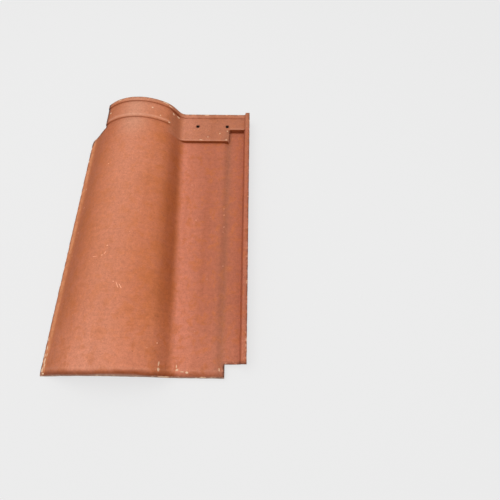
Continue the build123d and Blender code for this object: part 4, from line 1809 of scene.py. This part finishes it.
@dataclass
class RoofTile:
    """The whole dressed tile."""

    form: TileForm = field(default_factory=TileForm)
    line_half: float = 1.15
    past_rib: float = 3.4
    edge_line: float = 6.6
    grid: TileGrid = field(init=False)
    body: TileBody = field(init=False)

    def __post_init__(self) -> None:
        """Sets up the body on its grid."""
        self.grid = TileGrid(self.form)
        self.body = TileBody(self.form, self.grid)

    def rib_marks(self) -> list[Mark]:
        """Ring-like marks in a row on each rib, joined by a cream line.

        Returns:
            The marks.
        """
        form = self.form
        lean = (form.rib_left[1] - form.rib_left[0]) / form.length
        rings = ((357, 2.6), (347, 4.3), (321, 4.0), (277, 3.8), (266, 4.3), (254, 4.5),
                 (243, 4.6), (232, 4.6), (221, 4.6), (208, 4.5), (200, 4.1), (191, 4.8),
                 (178, 4.5), (160, 4.9), (142, 3.0), (132, 4.8), (118, 5.0), (104, 5.2),
                 (91, 6.0), (77, 5.8))
        marks = []
        for y, size in rings:
            left = form.along(form.rib_left, y)
            marks.append(Mark(form.rib_right, y, size, 1.05 * size, ring=1.0, chalk=0.5))
            marks.append(Mark(left, y, 0.92 * size, size, ring=0.8, chalk=0.5))
        for (start, _), (end, _) in zip(rings, rings[1:]):
            y, half = (start + end) / 2, (start - end) / 2
            left = form.along(form.rib_left, y)
            marks.append(Mark(form.rib_right, y, self.line_half, half, blunt=5.0))
            marks.append(Mark(left, y, self.line_half, half, blunt=5.0, lean=lean))
        return marks

    def smear_marks(self) -> list[Mark]:
        """Chalky bars that reach from the left rib toward the middle of the pan, and loose spots.

        Returns:
            The marks.
        """
        bars = ((277, 195.6, 2.8), (266, 198.0, 2.9), (254, 199.5, 3.2), (191, 217.8, 2.6),
                (142, 197.2, 2.2), (132, 201.8, 3.0), (118, 204.0, 3.6), (104, 201.6, 4.0),
                (91, 227.0, 5.0), (77, 229.0, 5.6), (357, 179.0, 1.4), (347, 186.0, 1.7),
                (321, 178.0, 1.5), (200, 183.0, 0.9), (178, 181.0, 0.8), (160, 183.5, 0.8))
        marks = []
        for y, end, half in bars:
            start = self.form.along(self.form.rib_left, y) - self.past_rib
            marks.append(Mark((start + end) / 2, y, (end - start) / 2, half, blunt=3.6, chalk=0.9))
        spots = ((216.6, 254, 2.6, 1.7), (203.0, 254, 2.8, 1.0), (213.9, 160, 2.2, 1.6),
                 (216.4, 132, 3.0, 1.3), (218.0, 118, 6.6, 1.9), (217.6, 104, 9.4, 3.2),
                 (180.0, 148, 4.5, 1.2), (199.0, 145, 3.5, 1.0))
        return marks + [Mark(*spot, blunt=2.6, chalk=0.8) for spot in spots]

    def foot_marks(self) -> list[Mark]:
        """Chips along the nib's front edge, the smear on the tail foot and thin cream lines.

        Returns:
            The marks.
        """
        front = self.form.nib_start + 0.7
        chips = ((237.5, 7.2, 0.8), (225.0, 3.0, 0.5), (211.5, 6.6, 0.9), (199.0, 3.0, 0.5),
                 (184.0, 5.0, 0.9), (175.0, 8.0, 1.2), (247.5, 2.4, 0.8), (165.5, 2.0, 0.8))
        marks = [Mark(x, front + half_y, half_x, half_y, blunt=2.8) for x, half_x, half_y in chips]
        marks.append(Mark(204.0, 6.4, 24.0, 4.5, blunt=3.0, chalk=0.9))
        marks.append(Mark(214.0, 7.2, 13.0, 4.2, blunt=2.4, chalk=0.9))
        lines = ((238.5, 64.0, 0.8, 4.6), (161.5, 9.0, 0.6, 6.0), (157.0, 12.0, 0.5, 7.0),
                 (157.8, 170.0, 0.4, 7.0), (158.4, 152.0, 0.4, 5.0), (158.0, 222.0, 0.4, 6.0))
        return marks + [Mark(*line) for line in lines]

    def edge_marks(self) -> list[Mark]:
        """Ring-like marks and a cream line along the roll's outer edge.

        Returns:
            The marks.
        """
        rings = ((372, 3.4), (352, 2.2), (334, 1.6), (316, 2.0), (297, 3.0), (287, 2.6),
                 (270, 3.2), (261, 3.0), (250, 3.2), (236, 3.4), (222, 3.0), (210, 3.2),
                 (199, 3.4), (187, 2.4), (174, 3.0), (161, 3.4), (150, 4.0), (138, 3.8),
                 (125, 4.0), (112, 3.8))
        middle = self.edge_line
        marks = [Mark(middle, y, size, 1.25 * size, ring=0.8, chalk=0.3) for y, size in rings]
        for (start, _), (end, _) in zip(rings, rings[1:]):
            marks.append(Mark(middle + 0.3, (start + end) / 2, 1.0, (start - end) / 2, blunt=5.0))
        return marks

    def tail_marks(self) -> list[Mark]:
        """Stained crust that is broken into specks, at the tail of the roll's outer edge.

        Returns:
            The marks.
        """
        marks = [Mark(5.4, y, 1.9, 7.0, blunt=3.0, chalk=0.2) for y in (101, 89, 77, 65, 53, 41, 30)]
        draw = np.random.default_rng(21)
        for _ in range(90):
            y, x, size = draw.uniform(2.0, 106.0), draw.uniform(0.8, 8.5), draw.uniform(0.7, 2.4)
            ring, chalk = draw.uniform(0.0, 0.9), draw.uniform(0.0, 0.4)
            marks.append(Mark(x, y, 0.7 * size, 1.5 * size, ring=ring, chalk=chalk))
        for _ in range(60):
            y = draw.uniform(8.0, 96.0)
            x = 9.0 + draw.exponential(6.0) * (1.1 - y / 110.0)
            size = draw.uniform(0.3, 0.8)
            marks.append(Mark(x, y, size, 1.5 * size, ring=0.4, chalk=0.1))
        return marks

    def chip_marks(self) -> list[Mark]:
        """Small pale chips along the edges of the top face.

        Returns:
            The marks.
        """
        chips = (
            (3.4, 8.0, 1.5, 3.6), (6.2, 13.0, 1.0, 3.4), (4.6, 19.0, 1.3, 3.6), (6.4, 27.0, 0.9, 2.6),
            (3.0, 26.0, 0.9, 3.2), (4.2, 36.0, 0.9, 3.4), (2.6, 47.0, 0.8, 2.8), (5.6, 3.4, 2.2, 1.3),
            (1.8, 340.0, 0.9, 3.0), (2.0, 366.0, 1.0, 2.6), (9.0, 383.0, 2.4, 1.0),
            (18.0, 384.0, 2.0, 0.8), (57.0, 427.0, 3.6, 1.0), (41.0, 409.0, 1.4, 1.6),
            (113.0, 411.0, 1.7, 1.4), (126.0, 399.0, 1.0, 1.0), (131.0, 427.6, 4.4, 1.1),
            (138.5, 424.8, 2.8, 1.2), (141.5, 417.0, 2.0, 2.2), (196.0, 428.2, 4.0, 0.9),
            (161.6, 9.4, 1.3, 2.6), (161.2, 16.0, 0.6, 3.4), (181.0, 9.6, 1.8, 2.0),
            (180.0, 14.0, 0.8, 2.2), (194.0, 6.8, 2.0, 1.1), (187.5, 7.6, 2.6, 0.7),
            (234.7, 10.5, 0.9, 2.4), (232.5, 394.5, 1.3, 1.3), (200.3, 381.8, 1.1, 1.2),
            (220.1, 389.3, 0.9, 1.4), (231.0, 376.2, 1.6, 1.0), (189.0, 375.6, 3.0, 0.7),
            (138.9, 392.1, 1.4, 1.4), (141.1, 415.7, 1.4, 1.0), (148.7, 418.2, 1.8, 1.5),
            (166.0, 1.2, 6.0, 0.8), (214.0, 1.2, 4.0, 0.7),
        )
        return [Mark(*chip) for chip in chips]

    def scrape_marks(self) -> list[Mark]:
        """Short scratches and light spots on the roll and the pan.

        Returns:
            The marks.
        """
        scratches = [
            Mark(103.8, 110.1, 0.55, 4.6, lean=-0.47), Mark(107.9, 108.5, 0.75, 3.3, lean=-0.66),
            Mark(80.5, 154.7, 0.4, 2.4, lean=0.58),
        ]
        spots = (
            (98.4, 114.3, 0.8, 0.8), (81.8, 165.0, 1.2, 1.1), (76.6, 151.4, 1.9, 0.7),
            (57.9, 303.0, 1.0, 1.0), (66.0, 150.2, 3.8, 0.3), (190.5, 226.0, 0.5, 1.2),
            (157.4, 40.5, 0.5, 0.9), (171.5, 313.6, 0.6, 0.8), (179.8, 288.9, 0.5, 0.8),
            (182.0, 280.0, 0.4, 0.7), (12.3, 281.0, 0.5, 2.2), (19.0, 242.6, 0.7, 0.8),
            (19.4, 233.7, 0.5, 0.8), (17.4, 200.9, 0.6, 0.9), (17.0, 194.6, 0.5, 0.8),
            (14.3, 165.2, 0.5, 1.1), (232.1, 246.6, 0.5, 0.9), (232.5, 236.2, 0.5, 1.0),
            (233.2, 215.8, 0.5, 1.0), (232.1, 207.1, 0.5, 0.9), (234.1, 153.0, 0.6, 1.0),
            (212.5, 132.2, 0.5, 0.6), (182.6, 398.5, 0.7, 0.7),
        )
        return scratches + [Mark(*spot) for spot in spots]

    def _groups(self) -> list[tuple[Marks, ChalkyCrust]]:
        """Marks of each piece and their finish.

        Returns:
            The pairs, in the order in which they are made.
        """
        crust = ChalkyCrust("kiln_crust")
        stained = ChalkyCrust("stained_crust", cream=(0.70, 0.47, 0.30), stained=(0.36, 0.15, 0.06))
        chip = ChalkyCrust("chipped_clay", cream=(0.70, 0.44, 0.28), stained=(0.50, 0.23, 0.12))
        scrape = ChalkyCrust("scraped_clay", cream=(0.82, 0.40, 0.25), stained=(0.60, 0.24, 0.13))
        under = self.rib_marks() + self.smear_marks() + self.foot_marks() + self.edge_marks()
        tail, chips, scrapes = self.tail_marks(), self.chip_marks(), self.scrape_marks()
        body, below, above = self.body, Face.UNDERSIDE, Face.TOP
        return [
            (Marks(body, "setting_marks", below, under), crust),
            (Marks(body, "tail_crust", below, tail, seed=5), stained),
            (Marks(body, "edge_chips", above, chips, thickness=0.12, seed=11), chip),
            (Marks(body, "scratches", above, scrapes, thickness=0.08, seed=17), scrape),
        ]

    def build(self) -> list[bpy.types.Object]:
        """Makes each piece, dresses it and ties it to the model's body.

        Returns:
            The pieces.
        """
        tile = self.body.build()
        tile.data.materials.append(FiredClay().build())
        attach(tile, "root")
        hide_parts("roof_tile")
        pieces = [tile]
        for marks, finish in self._groups():
            piece = marks.build()
            piece.data.materials.append(finish.build())
            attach(piece, "root")
            pieces.append(piece)
        return pieces


def main() -> None:
    """Builds the tile and its studio."""
    logging.basicConfig(level=logging.INFO, format="%(name)s %(message)s")
    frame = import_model()
    Studio().build()
    for piece in RoofTile().build():
        LOG.info("%s: %d faces", piece.name, len(piece.data.polygons))
    clay = bpy.data.materials["fired_clay"]
    for node in frame["nodes"].values():
        for slot in node.material_slots:
            slot.material = clay


if __name__ == "__main__":
    main()
